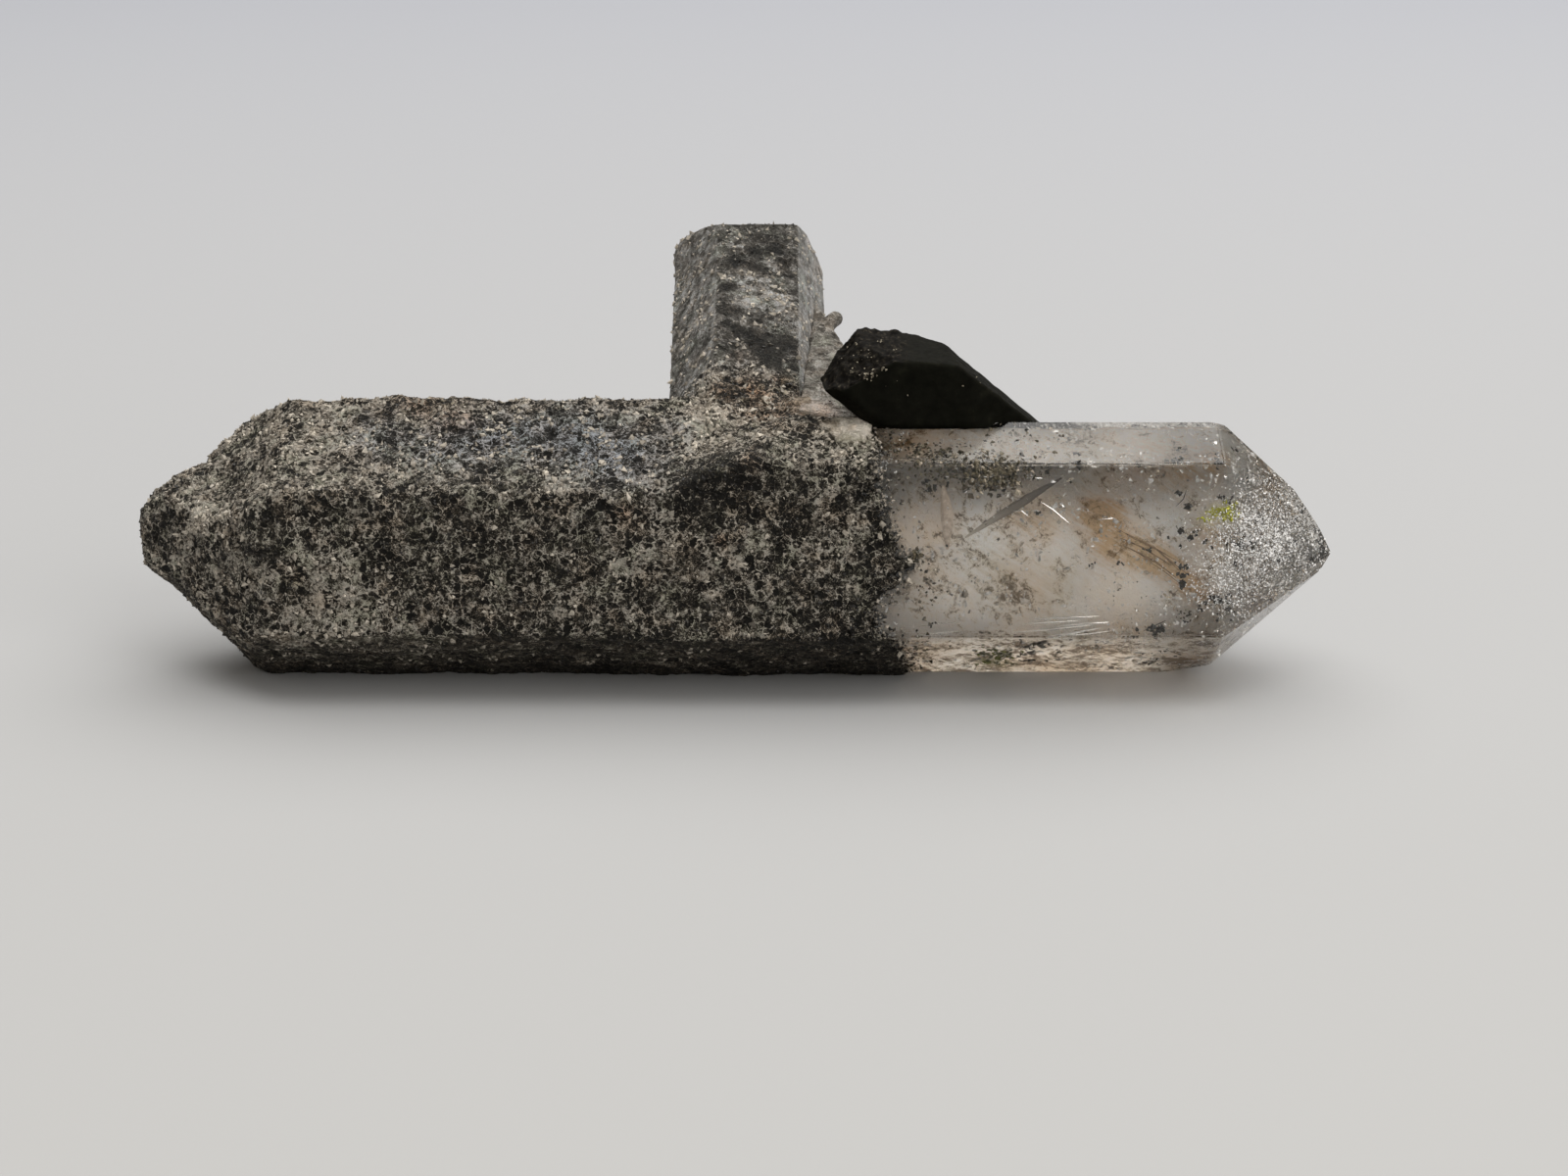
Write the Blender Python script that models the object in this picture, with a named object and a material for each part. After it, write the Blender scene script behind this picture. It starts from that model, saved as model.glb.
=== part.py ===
"""A double terminated quartz crystal, 80 mm long, lying on its side.

Two thirds of it wear a grainy crust, and the last third is clear and faceted. A second crusted crystal grows out of
its back, a pale wedge of quartz leans between the two, and a dark crystal of another mineral sits beside them in the
top of the clear end. Every crystal is a block cut by the flat faces of its habit, and the crust is lumps and pits on
those faces. Metres, +X along the main crystal, +Z up. The origin is on the face that it rests on, under its middle.
"""

import math

import bmesh
import bpy
from mathutils import Matrix, Vector, noise

MM = 0.001
BLOCK = 300 * MM

# Quartz angles: from the long axis to the normal of a tip face, and from one prism face to the next.
TIP_SLOPE = math.radians(51.8)
PRISM_TURN = math.radians(60)
# The front prism face of the main crystal leans back: its normal points this far above the horizon.
MAIN_ROLL = math.radians(6)
AXIS_HEIGHT = 8.65 * MM

# Distances in millimetres from a crystal's centre to its six long faces, and to its six tip faces. The first is the
# front face, and the next ones go over the top: upper front, upper back, back, lower back, lower front.
CRUSTED_PRISM = (8.4, 8.35, 8.45, 8.3, 9.7, 8.3)
CRUSTED_TIP = (25.3, 24.7, 27.0, 24.9, 25.7, 26.0)
CRUSTED_START = 36.0
CRUSTED_END = 5.0
# A slimmer crystal on the same axis sticks out of the crusted end as its point.
CORE_PRISM = (4.9, 4.6, 4.6, 4.6, 4.6, 4.6)
CORE_TIP = (25.2, 26.4, 26.3, 25.0, 25.6, 25.7)
CORE_START = 39.8
CLEAR_PRISM = (8.11, 9.72, 5.35, 7.5, 9.3, 8.18)
CLEAR_TIP = (25.7, 27.0, 23.9, 23.4, 24.3, 25.9)
CLEAR_START = 8.0
# Small faces on the clear tip, as a direction and a distance: at its upper corner, at its point, and underneath.
CLEAR_SMALL_FACES = (
    (Vector((0.37, 0.0, 0.93)), 19.9),
    (Vector((0.857, 0.159, 0.490)), 33.5),
    (Vector((0.30, -0.10, -0.95)), 17.1),
)
# The crust goes on over the start of the clear part. It begins in a slope and ends in a slanting line.
SLEEVE_START = 8.0
SLEEVE_GROWTH = 0.3
SLEEVE_SLOPE = (Vector((-0.35, -0.20, 0.92)), 8.25)
SLEEVE_END = (Vector((1.0, 0.0, 0.17)), 10.4)

# The second crystal points back and up. It is turned a little about its own axis, and its far end is blunt, with a
# sloping face above a steep one.
SECOND_ROOT = Vector((0.6, 0.0, 12.6)) * MM
SECOND_RISE = math.radians(25)
SECOND_ROLL = math.radians(20)
SECOND_PRISM = (4.9, 4.9, 5.0, 4.4, 4.8, 4.9)
SECOND_TIP = (19.3, 21.0, 21.2, 20.0, 17.9, 19.2)
SECOND_END_FACES = (
    (Vector((0.76, 0.08, 0.65)), 20.3),
    (Vector((0.96, 0.05, 0.0)), 24.9),
)
SECOND_DEPTH = 4.0

# The wedge, in millimetres: its long upper edge, two corners at its foot, and two that are buried in the crystals.
WEDGE_CORNERS = (
    (5.4, 16.2, 21.5),
    (11.0, -1.5, 16.6),
    (4.2, -0.6, 17.8),
    (11.3, 5.6, 10.5),
    (4.6, 14.5, 15.5),
    (3.5, 3.0, 9.5),
)
KNOB_PLACE = Vector((6.7, 13.3, 20.8)) * MM
KNOB_RADIUS = 0.65 * MM

# The dark crystal points down to the right. Its long faces are given by the turn from its front and the distance.
DARK_ROOT = Vector((11.5, -1.9, 19.9)) * MM
DARK_FALL = math.radians(40)
DARK_TURN = math.radians(3)
DARK_LONG_FACES = ((0, 2.6), (90, 3.2), (128, 3.6), (180, 3.2), (232, 3.7), (270, 3.7), (312, 3.9))
# Its broken end and the two faces that go into the quartz, as directions and points in millimetres.
DARK_END_FACES = (
    (Vector((-0.754, -0.04, 0.656)), Vector((7.1, -1.9, 21.7))),
    (Vector((-0.40, -0.50, 0.76)), Vector((9.5, -4.4, 21.8))),
    (Vector((0.12, -0.10, 0.985)), Vector((10.6, -1.0, 22.5))),
    (Vector((0.0, -0.588, -0.809)), Vector((0.0, -3.35, 16.9))),
    (Vector((0.45, -0.89, 0.0)), Vector((15.6, -4.2, 18.0))),
)
GAP = 0.3

# The crust: the even mesh that it is raised from, and the spacing and height of its lumps, ledges and pits.
CRUST_MESH = 1.05 * MM
CRUST_RELIEF = (
    (4.2 * MM, 0.42 * MM, Vector((3.0, 8.0, 1.0))),
    (1.9 * MM, 0.42 * MM, Vector((31.0, 17.0, 5.0))),
    (0.9 * MM, 0.22 * MM, Vector((7.0, 23.0, 47.0))),
)

QUARTZ_LOOK = ((0.30, 0.28, 0.25, 1.0), 0.75)
DARK_LOOK = ((0.012, 0.013, 0.010, 1.0), 0.35)


def prism_normal(face, roll):
    """The normal of a prism face of a crystal that lies along X."""
    turn = roll + face * PRISM_TURN
    return Vector((0, -math.cos(turn), math.sin(turn)))


def tip_normal(face, roll, way):
    """The normal of a tip face: way is 1 at the +X end and -1 at the other."""
    return Vector((way * math.cos(TIP_SLOPE), 0, 0)) + prism_normal(face, roll) * math.sin(TIP_SLOPE)


def habit(prism, roll, left_tip=(), right_tip=(), left_end=None, right_end=None, grown=0.0):
    """The faces of a quartz crystal along X, as (normal, distance in mm), each moved out by grown."""
    planes = [(prism_normal(i, roll), d) for i, d in enumerate(prism)]
    planes += [(tip_normal(i, roll, -1), d) for i, d in enumerate(left_tip)]
    planes += [(tip_normal(i, roll, 1), d) for i, d in enumerate(right_tip)]
    if left_end is not None:
        planes.append((Vector((-1, 0, 0)), -left_end))
    if right_end is not None:
        planes.append((Vector((1, 0, 0)), right_end))
    return [(normal, distance + grown) for normal, distance in planes]


def pointing(origin, azimuth, rise):
    """Places a crystal made along X so that its +X end points to an azimuth (90 is +Y) and rises above the horizon."""
    return Matrix.Translation(origin) @ Matrix.Rotation(azimuth, 4, "Z") @ Matrix.Rotation(-rise, 4, "Y")


def add_object(name, bm):
    mesh = bpy.data.meshes.new(name)
    bm.to_mesh(mesh)
    bm.free()
    obj = bpy.data.objects.new(name, mesh)
    bpy.context.scene.collection.objects.link(obj)
    return obj


def cut(bm, normal, distance):
    """Cuts away what lies outside a plane and closes the mesh there."""
    everything = bm.verts[:] + bm.edges[:] + bm.faces[:]
    normal = normal.normalized()
    result = bmesh.ops.bisect_plane(bm, geom=everything, plane_co=normal * distance, plane_no=normal, clear_outer=True)
    rim = [edge for edge in result["geom_cut"] if isinstance(edge, bmesh.types.BMEdge)]
    if rim:
        bmesh.ops.contextual_create(bm, geom=rim)


def crystal(name, planes, place):
    """A convex solid: a block with everything outside each plane cut away."""
    bm = bmesh.new()
    bmesh.ops.create_cube(bm, size=BLOCK)
    for normal, distance in planes:
        cut(bm, normal, distance * MM)
    bmesh.ops.recalc_face_normals(bm, faces=bm.faces)
    bm.transform(place)
    return add_object(name, bm)


def apply_modifiers(obj):
    bpy.context.view_layer.update()
    evaluated = obj.evaluated_get(bpy.context.evaluated_depsgraph_get())
    mesh = bpy.data.meshes.new_from_object(evaluated)
    obj.modifiers.clear()
    obj.data = mesh


def combine(obj, operation, others):
    """Joins other objects to obj, or cuts them from it, and removes them."""
    for other in others:
        boolean = obj.modifiers.new(operation.lower(), "BOOLEAN")
        boolean.operation = operation
        boolean.object = other
    apply_modifiers(obj)
    for other in others:
        bpy.data.objects.remove(other)


def make_crusted():
    """The crystals under the crust, as one solid: the main one, its core point, the sleeve and the second one."""
    centre = Matrix.Translation((0, 0, AXIS_HEIGHT))
    faces = habit(
        CRUSTED_PRISM, MAIN_ROLL, left_tip=CRUSTED_TIP, left_end=-CRUSTED_START, right_end=CRUSTED_END
    )
    crusted = crystal("quartz", faces, centre)
    faces = habit(CORE_PRISM, MAIN_ROLL, left_tip=CORE_TIP, left_end=-CORE_START, right_end=0)
    core = crystal("core", faces, centre)
    faces = habit(CLEAR_PRISM, MAIN_ROLL, left_end=-SLEEVE_START, grown=SLEEVE_GROWTH)
    sleeve = crystal("sleeve", faces + [SLEEVE_SLOPE, SLEEVE_END], centre)
    faces = habit(SECOND_PRISM, SECOND_ROLL, right_tip=SECOND_TIP, left_end=-SECOND_DEPTH) + list(SECOND_END_FACES)
    second = crystal("second", faces, pointing(SECOND_ROOT, math.radians(90), SECOND_RISE))
    combine(crusted, "UNION", [core, sleeve, second])
    return crusted


def raise_crust(obj):
    """Gives the faces an even mesh, then raises lumps and sinks pits in it."""
    remesh = obj.modifiers.new("even mesh", "REMESH")
    remesh.mode = "VOXEL"
    remesh.voxel_size = CRUST_MESH
    apply_modifiers(obj)
    vertices = obj.data.vertices
    normals = [vertex.normal.copy() for vertex in vertices]
    for vertex, normal in zip(vertices, normals):
        place = vertex.co.copy()
        height = sum(size * noise.noise(place / spacing + seed) for spacing, size, seed in CRUST_RELIEF)
        vertex.co = place + normal * height


def make_clear():
    faces = habit(CLEAR_PRISM, MAIN_ROLL, right_tip=CLEAR_TIP, left_end=CLEAR_START)
    return crystal("clear", faces + list(CLEAR_SMALL_FACES), Matrix.Translation((0, 0, AXIS_HEIGHT)))


def make_wedge():
    bm = bmesh.new()
    for corner in WEDGE_CORNERS:
        bm.verts.new(Vector(corner) * MM)
    bmesh.ops.convex_hull(bm, input=bm.verts)
    bmesh.ops.recalc_face_normals(bm, faces=bm.faces)
    return add_object("wedge", bm)


def make_knob():
    bm = bmesh.new()
    bmesh.ops.create_icosphere(bm, subdivisions=2, radius=KNOB_RADIUS, matrix=Matrix.Translation(KNOB_PLACE))
    return add_object("knob", bm)


def make_dark(name, grown=0.0):
    """The dark crystal, or its socket when grown by the gap."""
    place = pointing(DARK_ROOT, DARK_TURN, -DARK_FALL)
    to_crystal = place.inverted()
    planes = []
    for turn, distance in DARK_LONG_FACES:
        planes.append((prism_normal(0, math.radians(turn)), distance + grown))
    for direction, point in DARK_END_FACES:
        normal = (to_crystal.to_3x3() @ direction).normalized()
        planes.append((normal, normal.dot(to_crystal @ (point * MM)) / MM + grown))
    return crystal(name, planes, place)


def rest_on_floor(obj):
    """Cuts the flat face that the specimen rests on, at the floor's height."""
    bm = bmesh.new()
    bm.from_mesh(obj.data)
    cut(bm, Vector((0, 0, -1)), 0.0)
    bm.to_mesh(obj.data)
    bm.free()


def paint(obj, look):
    colour, roughness = look
    material = bpy.data.materials.new(obj.name)
    material.use_nodes = True
    shader = material.node_tree.nodes["Principled BSDF"]
    shader.inputs["Base Color"].default_value = colour
    shader.inputs["Roughness"].default_value = roughness
    shader.inputs["Metallic"].default_value = 0.0
    obj.data.materials.clear()
    obj.data.materials.append(material)


def main():
    for obj in list(bpy.data.objects):
        bpy.data.objects.remove(obj)
    quartz = make_crusted()
    raise_crust(quartz)
    combine(quartz, "UNION", [make_clear(), make_wedge(), make_knob()])
    combine(quartz, "DIFFERENCE", [make_dark("socket", GAP)])
    rest_on_floor(quartz)
    paint(quartz, QUARTZ_LOOK)
    paint(make_dark("dark_crystal"), DARK_LOOK)


main()
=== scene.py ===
"""The looks of a double terminated quartz crystal: its crusted crystals and its clear end, inside and out.

Lengths are written in millimetres and turned into metres by MM. The frame is the CAD model's: +X along the
main crystal, +Z up, and the camera looks along +Y. A seen height, or u, is measured upwards in the picture.
"""

import math

import bmesh
import bpy
import numpy as np
from mathutils import Matrix, Vector, kdtree, noise
from mathutils.bvhtree import BVHTree


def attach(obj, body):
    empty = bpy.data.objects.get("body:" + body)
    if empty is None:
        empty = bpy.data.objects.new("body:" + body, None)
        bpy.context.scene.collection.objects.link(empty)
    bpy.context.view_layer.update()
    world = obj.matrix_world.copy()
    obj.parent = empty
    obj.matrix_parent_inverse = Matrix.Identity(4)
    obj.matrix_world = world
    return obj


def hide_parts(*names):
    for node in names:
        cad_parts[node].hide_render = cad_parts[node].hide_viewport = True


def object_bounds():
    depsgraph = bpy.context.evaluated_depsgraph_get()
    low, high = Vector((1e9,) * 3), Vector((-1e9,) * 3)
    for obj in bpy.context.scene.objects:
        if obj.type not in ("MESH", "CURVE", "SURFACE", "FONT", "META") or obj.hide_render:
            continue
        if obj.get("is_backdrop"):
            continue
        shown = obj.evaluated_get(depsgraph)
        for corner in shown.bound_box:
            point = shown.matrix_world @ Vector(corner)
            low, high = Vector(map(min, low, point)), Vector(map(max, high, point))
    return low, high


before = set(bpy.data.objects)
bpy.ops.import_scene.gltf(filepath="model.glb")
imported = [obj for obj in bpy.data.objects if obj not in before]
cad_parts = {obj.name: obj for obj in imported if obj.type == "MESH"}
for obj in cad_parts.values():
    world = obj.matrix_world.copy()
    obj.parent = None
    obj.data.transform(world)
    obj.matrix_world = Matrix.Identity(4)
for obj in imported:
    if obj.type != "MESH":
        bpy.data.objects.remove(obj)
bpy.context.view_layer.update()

MM = 0.001

# The photograph's viewpoint.
AIM = Vector((3.2, 0.0, 5.3)) * MM
CAMERA_DISTANCE = 190 * MM
CAMERA_RISE = math.radians(18)
VIEW_WIDTH = 105.6 * MM
SENSOR = 36.0
CAMERA_BACK = Vector((0, -math.cos(CAMERA_RISE), math.sin(CAMERA_RISE)))

# The crystals, as in the CAD model, each cut from a cube of BLOCK. A prism or a tip lists the distances from
# the centre to its six faces.
TIP_SLOPE = math.radians(51.8)
PRISM_TURN = math.radians(60)
MAIN_ROLL = math.radians(6)
AXIS_HEIGHT = 8.65
AXIS = Matrix.Translation((0, 0, AXIS_HEIGHT))
BLOCK = 300.0
CRUSTED_PRISM = (8.4, 8.35, 8.45, 8.3, 9.7, 8.3)
CRUSTED_TIP = (25.3, 24.7, 27.0, 24.9, 25.7, 26.0)
CRUSTED_START = 36.0
CRUSTED_END = 5.0
CORE_PRISM = (4.9, 4.6, 4.6, 4.6, 4.6, 4.6)
CORE_TIP = (25.2, 26.4, 26.3, 25.0, 25.6, 25.7)
CORE_START = 39.8
CLEAR_PRISM = (8.11, 9.72, 5.35, 7.5, 9.3, 8.18)
CLEAR_TIP = (25.7, 27.0, 23.9, 23.4, 24.3, 25.9)
CLEAR_START = 8.0
CLEAR_SMALL_FACES = (
    (Vector((0.37, 0.0, 0.93)), 19.9),
    (Vector((0.857, 0.159, 0.490)), 33.5),
    (Vector((0.30, -0.10, -0.95)), 17.1),
)
SLEEVE_START = 8.0
SLEEVE_GROWTH = 0.3
SLEEVE_SLOPE = (Vector((-0.35, -0.20, 0.92)), 8.25)
SLEEVE_END = (Vector((1.0, 0.0, 0.17)), 10.4)
SECOND_ROOT = Vector((0.6, 0.0, 12.6))
SECOND_RISE = math.radians(25)
SECOND_ROLL = math.radians(20)
SECOND_PRISM = (4.9, 4.9, 5.0, 4.4, 4.8, 4.9)
SECOND_TIP = (19.3, 21.0, 21.2, 20.0, 17.9, 19.2)
SECOND_END_FACES = (
    (Vector((0.76, 0.08, 0.65)), 20.3),
    (Vector((0.96, 0.05, 0.0)), 24.9),
)
SECOND_DEPTH = 4.0
WEDGE_CORNERS = (
    (5.4, 16.2, 21.5),
    (11.0, -1.5, 16.6),
    (4.2, -0.6, 17.8),
    (11.3, 5.6, 10.5),
    (4.6, 14.5, 15.5),
    (3.5, 3.0, 9.5),
)
KNOB_PLACE = Vector((6.7, 13.3, 20.8))
KNOB_RADIUS = 0.65
DARK_ROOT = Vector((11.5, -1.9, 19.9))
DARK_FALL = math.radians(40)
DARK_TURN = math.radians(3)
DARK_LONG_FACES = ((0, 2.6), (90, 3.2), (128, 3.6), (180, 3.2), (232, 3.7), (270, 3.7), (312, 3.9))
DARK_END_FACES = (
    (Vector((-0.754, -0.04, 0.656)), Vector((7.1, -1.9, 21.7))),
    (Vector((-0.40, -0.50, 0.76)), Vector((9.5, -4.4, 21.8))),
    (Vector((0.12, -0.10, 0.985)), Vector((10.6, -1.0, 22.5))),
    (Vector((0.0, -0.588, -0.809)), Vector((0.0, -3.35, 16.9))),
    (Vector((0.45, -0.89, 0.0)), Vector((15.6, -4.2, 18.0))),
)
CRUST_RELIEF = (
    (4.2, 0.42, Vector((3.0, 8.0, 1.0))),
    (1.9, 0.42, Vector((31.0, 17.0, 5.0))),
    (0.9, 0.22, Vector((7.0, 23.0, 47.0))),
)

# The voxel size of each fine mesh, and the radius of the crusts' edges and of those at their worn ends.
CRUST_MESH = 0.206
SECOND_MESH = 0.17
DARK_MESH = 0.13
WEDGE_MESH = 0.2
HEART_MESH = 0.3
CRUST_EDGES = (0.28, 0.75)
SECOND_EDGES = (0.16, 0.5)

# The crust's mosaic of pits and grains, how pale it is, and how large its pale and dark areas are.
CELL = 0.46
PIT_DEPTH = 0.16
GRAIN_HEIGHT = 0.1
CRUST_PALENESS = 0.388
LARGE_CLUSTERS = 3.4
SMALL_CLUSTERS = 1.05

# The clear quartz: where its cloudy inside starts and how far it is from the surface. Grains in it are larger
# than the tables say by GRAIN_GROWTH, and none is lower than GRAIN_FLOOR.
QUARTZ_IOR = 1.544
HEART_START = 8.6
HEART_GAP = 0.5
GRAIN_GROWTH = 1.6
GRAIN_FLOOR = 0.3

# Colours: where each stands on a scale from dark to pale, then red, green and blue.
CRUST_TONES = (
    (0.1, (0.009, 0.008, 0.006)), (0.26, (0.026, 0.022, 0.016)), (0.39, (0.06, 0.051, 0.038)),
    (0.5, (0.135, 0.118, 0.092)), (0.62, (0.36, 0.32, 0.26)), (0.8, (0.82, 0.76, 0.67)),
)
HEART_TONES = (
    (0.16, (0.05, 0.04, 0.03)), (0.32, (0.26, 0.22, 0.17)), (0.43, (0.66, 0.59, 0.5)),
    (0.51, (0.91, 0.86, 0.78)), (0.6, (0.98, 0.96, 0.92)), (0.8, (1.0, 1.0, 1.0)),
)
DARK_TONES = ((0.35, (0.003, 0.003, 0.002)), (0.6, (0.006, 0.006, 0.004)), (0.8, (0.014, 0.014, 0.009)))
BROKEN_TONES = ((0.45, (0.004, 0.0035, 0.003)), (0.6, (0.016, 0.014, 0.011)), (0.74, (0.1, 0.085, 0.065)))

# The floor: half its width, the metres over which its colour changes towards the back, and the two colours.
FLOOR_REACH = 2500
FLOOR_BLEND = 0.6
FLOOR_NEAR = (0.412, 0.414, 0.412)
FLOOR_FAR = (0.388, 0.405, 0.452)

# Stains in the clear quartz, and grains: name, dark and light colour.
STAINS = (
    ("brown", (0.1, 0.045, 0.012), (0.62, 0.38, 0.17)),
    ("olive", (0.07, 0.066, 0.025), (0.44, 0.41, 0.22)),
    ("yellow", (0.5, 0.5, 0.04), (0.84, 0.86, 0.12)),
)
GRAIN_LOOKS = (
    ("pale_grains", (0.1, 0.088, 0.07), (0.62, 0.56, 0.47)),
    ("dark_grains", (0.007, 0.006, 0.005), (0.05, 0.043, 0.032)),
    ("edge_grains", (0.01, 0.009, 0.006), (0.45, 0.4, 0.33)),
    ("ridge_lace", (0.05, 0.038, 0.024), (0.46, 0.4, 0.31)),
    ("flakes", (0.16, 0.13, 0.1), (1, 0.99, 0.97)),
    ("chips", (0.62, 0.52, 0.4), (1, 0.99, 0.97)),
)

# Specks, hairs and lines: name, two colours, roughness and, where they shine like metal, how much.
SPECK_LOOKS = (
    ("dark_specks", (0.006, 0.005, 0.003), (0.05, 0.045, 0.03), 0.4),
    ("painted_tip_light", (0.9, 0.89, 0.87), (1, 1, 1), 0.3),
    ("bright_specks", (0.9, 0.89, 0.87), (0.98, 0.98, 0.98), 0.2, 1.0),
    ("ridge_specks", (0.012, 0.011, 0.006), (0.13, 0.11, 0.07), 0.5),
    ("yellow_specks", (0.7, 0.72, 0.05), (0.42, 0.4, 0.05), 0.4),
    ("olive_specks", (0.1, 0.11, 0.035), (0.22, 0.22, 0.09), 0.6),
    ("dark_crystal_grains", (0.1, 0.085, 0.06), (0.45, 0.4, 0.3), 0.5),
    ("foot_specks", (0.03, 0.02, 0.012), (0.16, 0.1, 0.06), 0.5),
    ("pale_blade", (0.52, 0.42, 0.33), (0.74, 0.64, 0.54), 0.5),
    ("brown_hairs", (0.16, 0.09, 0.04), (0.34, 0.22, 0.12), 0.5),
)

# Places on the surface as the photograph shows them: x, seen height, radius and strength. The first two lie
# in the plane through AIM that faces the camera, and the sight line through them meets the surface there.
PALE_SPOTS = (
    (-35.9, 4.6, 1.6, 0.3), (-32.3, 0.8, 1.2, 0.22), (-27.5, -1.0, 2.2, 0.18), (-26.2, 1.7, 1.0, 0.22),
    (-27.5, 9.6, 1.2, 0.16), (-32.1, 10.2, 1.8, 0.1), (-29.1, 8.1, 2.2, 0.1), (-21.9, 8.3, 3.0, 0.08),
    (-12.6, 7.4, 2.0, 0.08), (-7.4, 1.2, 0.6, 0.25), (-8.2, 1.7, 0.5, 0.25), (-2.1, 11.1, 1.6, 0.55),
    (-3.1, 9.6, 1.2, 0.4), (4.6, 12.4, 1.2, 0.2), (6.2, 11.8, 1.3, 0.38), (7.9, 10.9, 1.8, 0.38),
    (9.2, 10.4, 1.0, 0.22), (1.5, 2.9, 0.9, 0.2), (-0.7, 1.8, 0.8, 0.16), (5.6, 2.6, 1.2, 0.16),
    (2.6, 5.7, 0.6, 0.3), (6.4, 7.1, 0.5, 0.3), (3.9, 8.6, 0.8, 0.18), (-26.5, -3.7, 2.4, 0.14),
    (-21.9, -3.8, 2.4, 0.1), (2.2, 0.0, 1.4, 0.12),
)
# Two of these are painted shade: -36.3, 3.4 is the shadow under a pale patch, -0.4, 13.1 a shadowed hollow.
DARK_SPOTS = (
    (-0.9, 7.1, 2.1, 0.5), (-3.1, 6.5, 1.5, 0.4), (-4.0, 7.8, 1.1, 0.22), (0.9, 6.1, 1.2, 0.26),
    (3.6, 5.4, 1.6, 0.26), (-0.4, 13.1, 0.8, 0.6), (8.8, -2.6, 3.4, 0.22), (4.5, -3.6, 2.8, 0.16),
    (9.8, 2.0, 1.5, 0.18), (-22.2, 3.4, 2.6, 0.14), (-18.6, 2.6, 2.6, 0.12), (-15.3, 4.0, 2.6, 0.1),
    (-33.8, 7.6, 0.9, 0.22), (-36.3, 3.4, 0.6, 0.3), (-31.6, 4.4, 0.9, 0.22), (-31.7, 2.1, 0.9, 0.24),
    (-26.8, 3.4, 0.7, 0.26), (-32.3, -1.5, 1.3, 0.22), (-38.7, 4.5, 0.9, 0.16), (-29.8, 0.0, 0.9, 0.18),
    (-12.6, 0.0, 3.3, 0.05), (-3.4, -3.3, 4.0, 0.06), (7.2, 5.3, 1.2, 0.18),
)
BROWN_SPOTS = (
    (2.5, 11.9, 2.3, 0.8), (-1.1, 13.2, 1.1, 0.8), (5.8, 11.6, 1.3, 0.7), (-21.2, 12.2, 2.0, 0.6),
    (-18.6, 11.2, 2.0, 0.5), (0.9, 8.6, 0.7, 0.5), (-1.1, 3.2, 0.4, 1.0), (-29.8, 0.7, 0.7, 0.5),
    (-7.4, 5.3, 0.9, 0.7),
)
# Painted sheen: a bluish tint on the main crystal's upper face.
PAINTED_SHEEN_SPOTS = (
    (-7.4, 8.4, 2.6, 0.9), (-10.7, 10.2, 3.3, 0.9), (-15.9, 10.4, 2.8, 0.8), (-19.6, 9.6, 2.6, 0.7),
    (-24.0, 10.4, 2.4, 0.6), (-4.1, 10.6, 1.3, 0.5),
)
SECOND_PALE = (
    (1.0, 20.7, 1.0, 0.22), (1.0, 19.3, 1.0, 0.22), (2.7, 19.7, 0.9, 0.2), (3.3, 18.9, 0.8, 0.2),
    (1.5, 14.4, 0.8, 0.12), (-3.4, 10.8, 1.2, 0.2),
)
SECOND_DARK = (
    (1.3, 22.6, 0.5, 0.35), (2.7, 22.7, 0.5, 0.35), (3.3, 22.0, 0.6, 0.3), (-0.1, 22.0, 0.6, 0.3),
    (1.5, 21.5, 0.6, 0.2), (-0.6, 20.3, 0.6, 0.25), (-0.6, 18.7, 0.6, 0.2), (1.5, 18.2, 0.6, 0.12),
    (1.5, 16.6, 1.0, 0.25), (3.4, 16.4, 0.8, 0.25), (2.1, 15.6, 0.9, 0.22), (0.3, 17.2, 0.7, 0.2),
    (2.8, 14.8, 0.7, 0.15),
)
SECOND_FULLER = (
    (-3.4, 23.0, 1.5, 0.35), (-2.2, 23.8, 1.3, 0.25),
)
SECOND_BROWN = (
    (0.0, 15.6, 0.6, 0.5), (1.0, 13.6, 0.8, 0.8), (3.1, 13.9, 0.7, 1.0), (1.5, 13.0, 0.7, 0.9),
)
FOOT_SPOTS = (
    (-2.0, 11.2, 1.1, 0.6), (4.6, 12.6, 1.2, 1.2), (6.0, 12.0, 1.3, 1.3), (7.4, 11.3, 1.3, 1.3),
    (8.8, 10.6, 1.2, 1.2), (7.0, 10.4, 1.0, 0.9), (5.2, 11.6, 0.9, 1.0), (8.2, 10.2, 0.8, 0.8),
)

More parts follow.
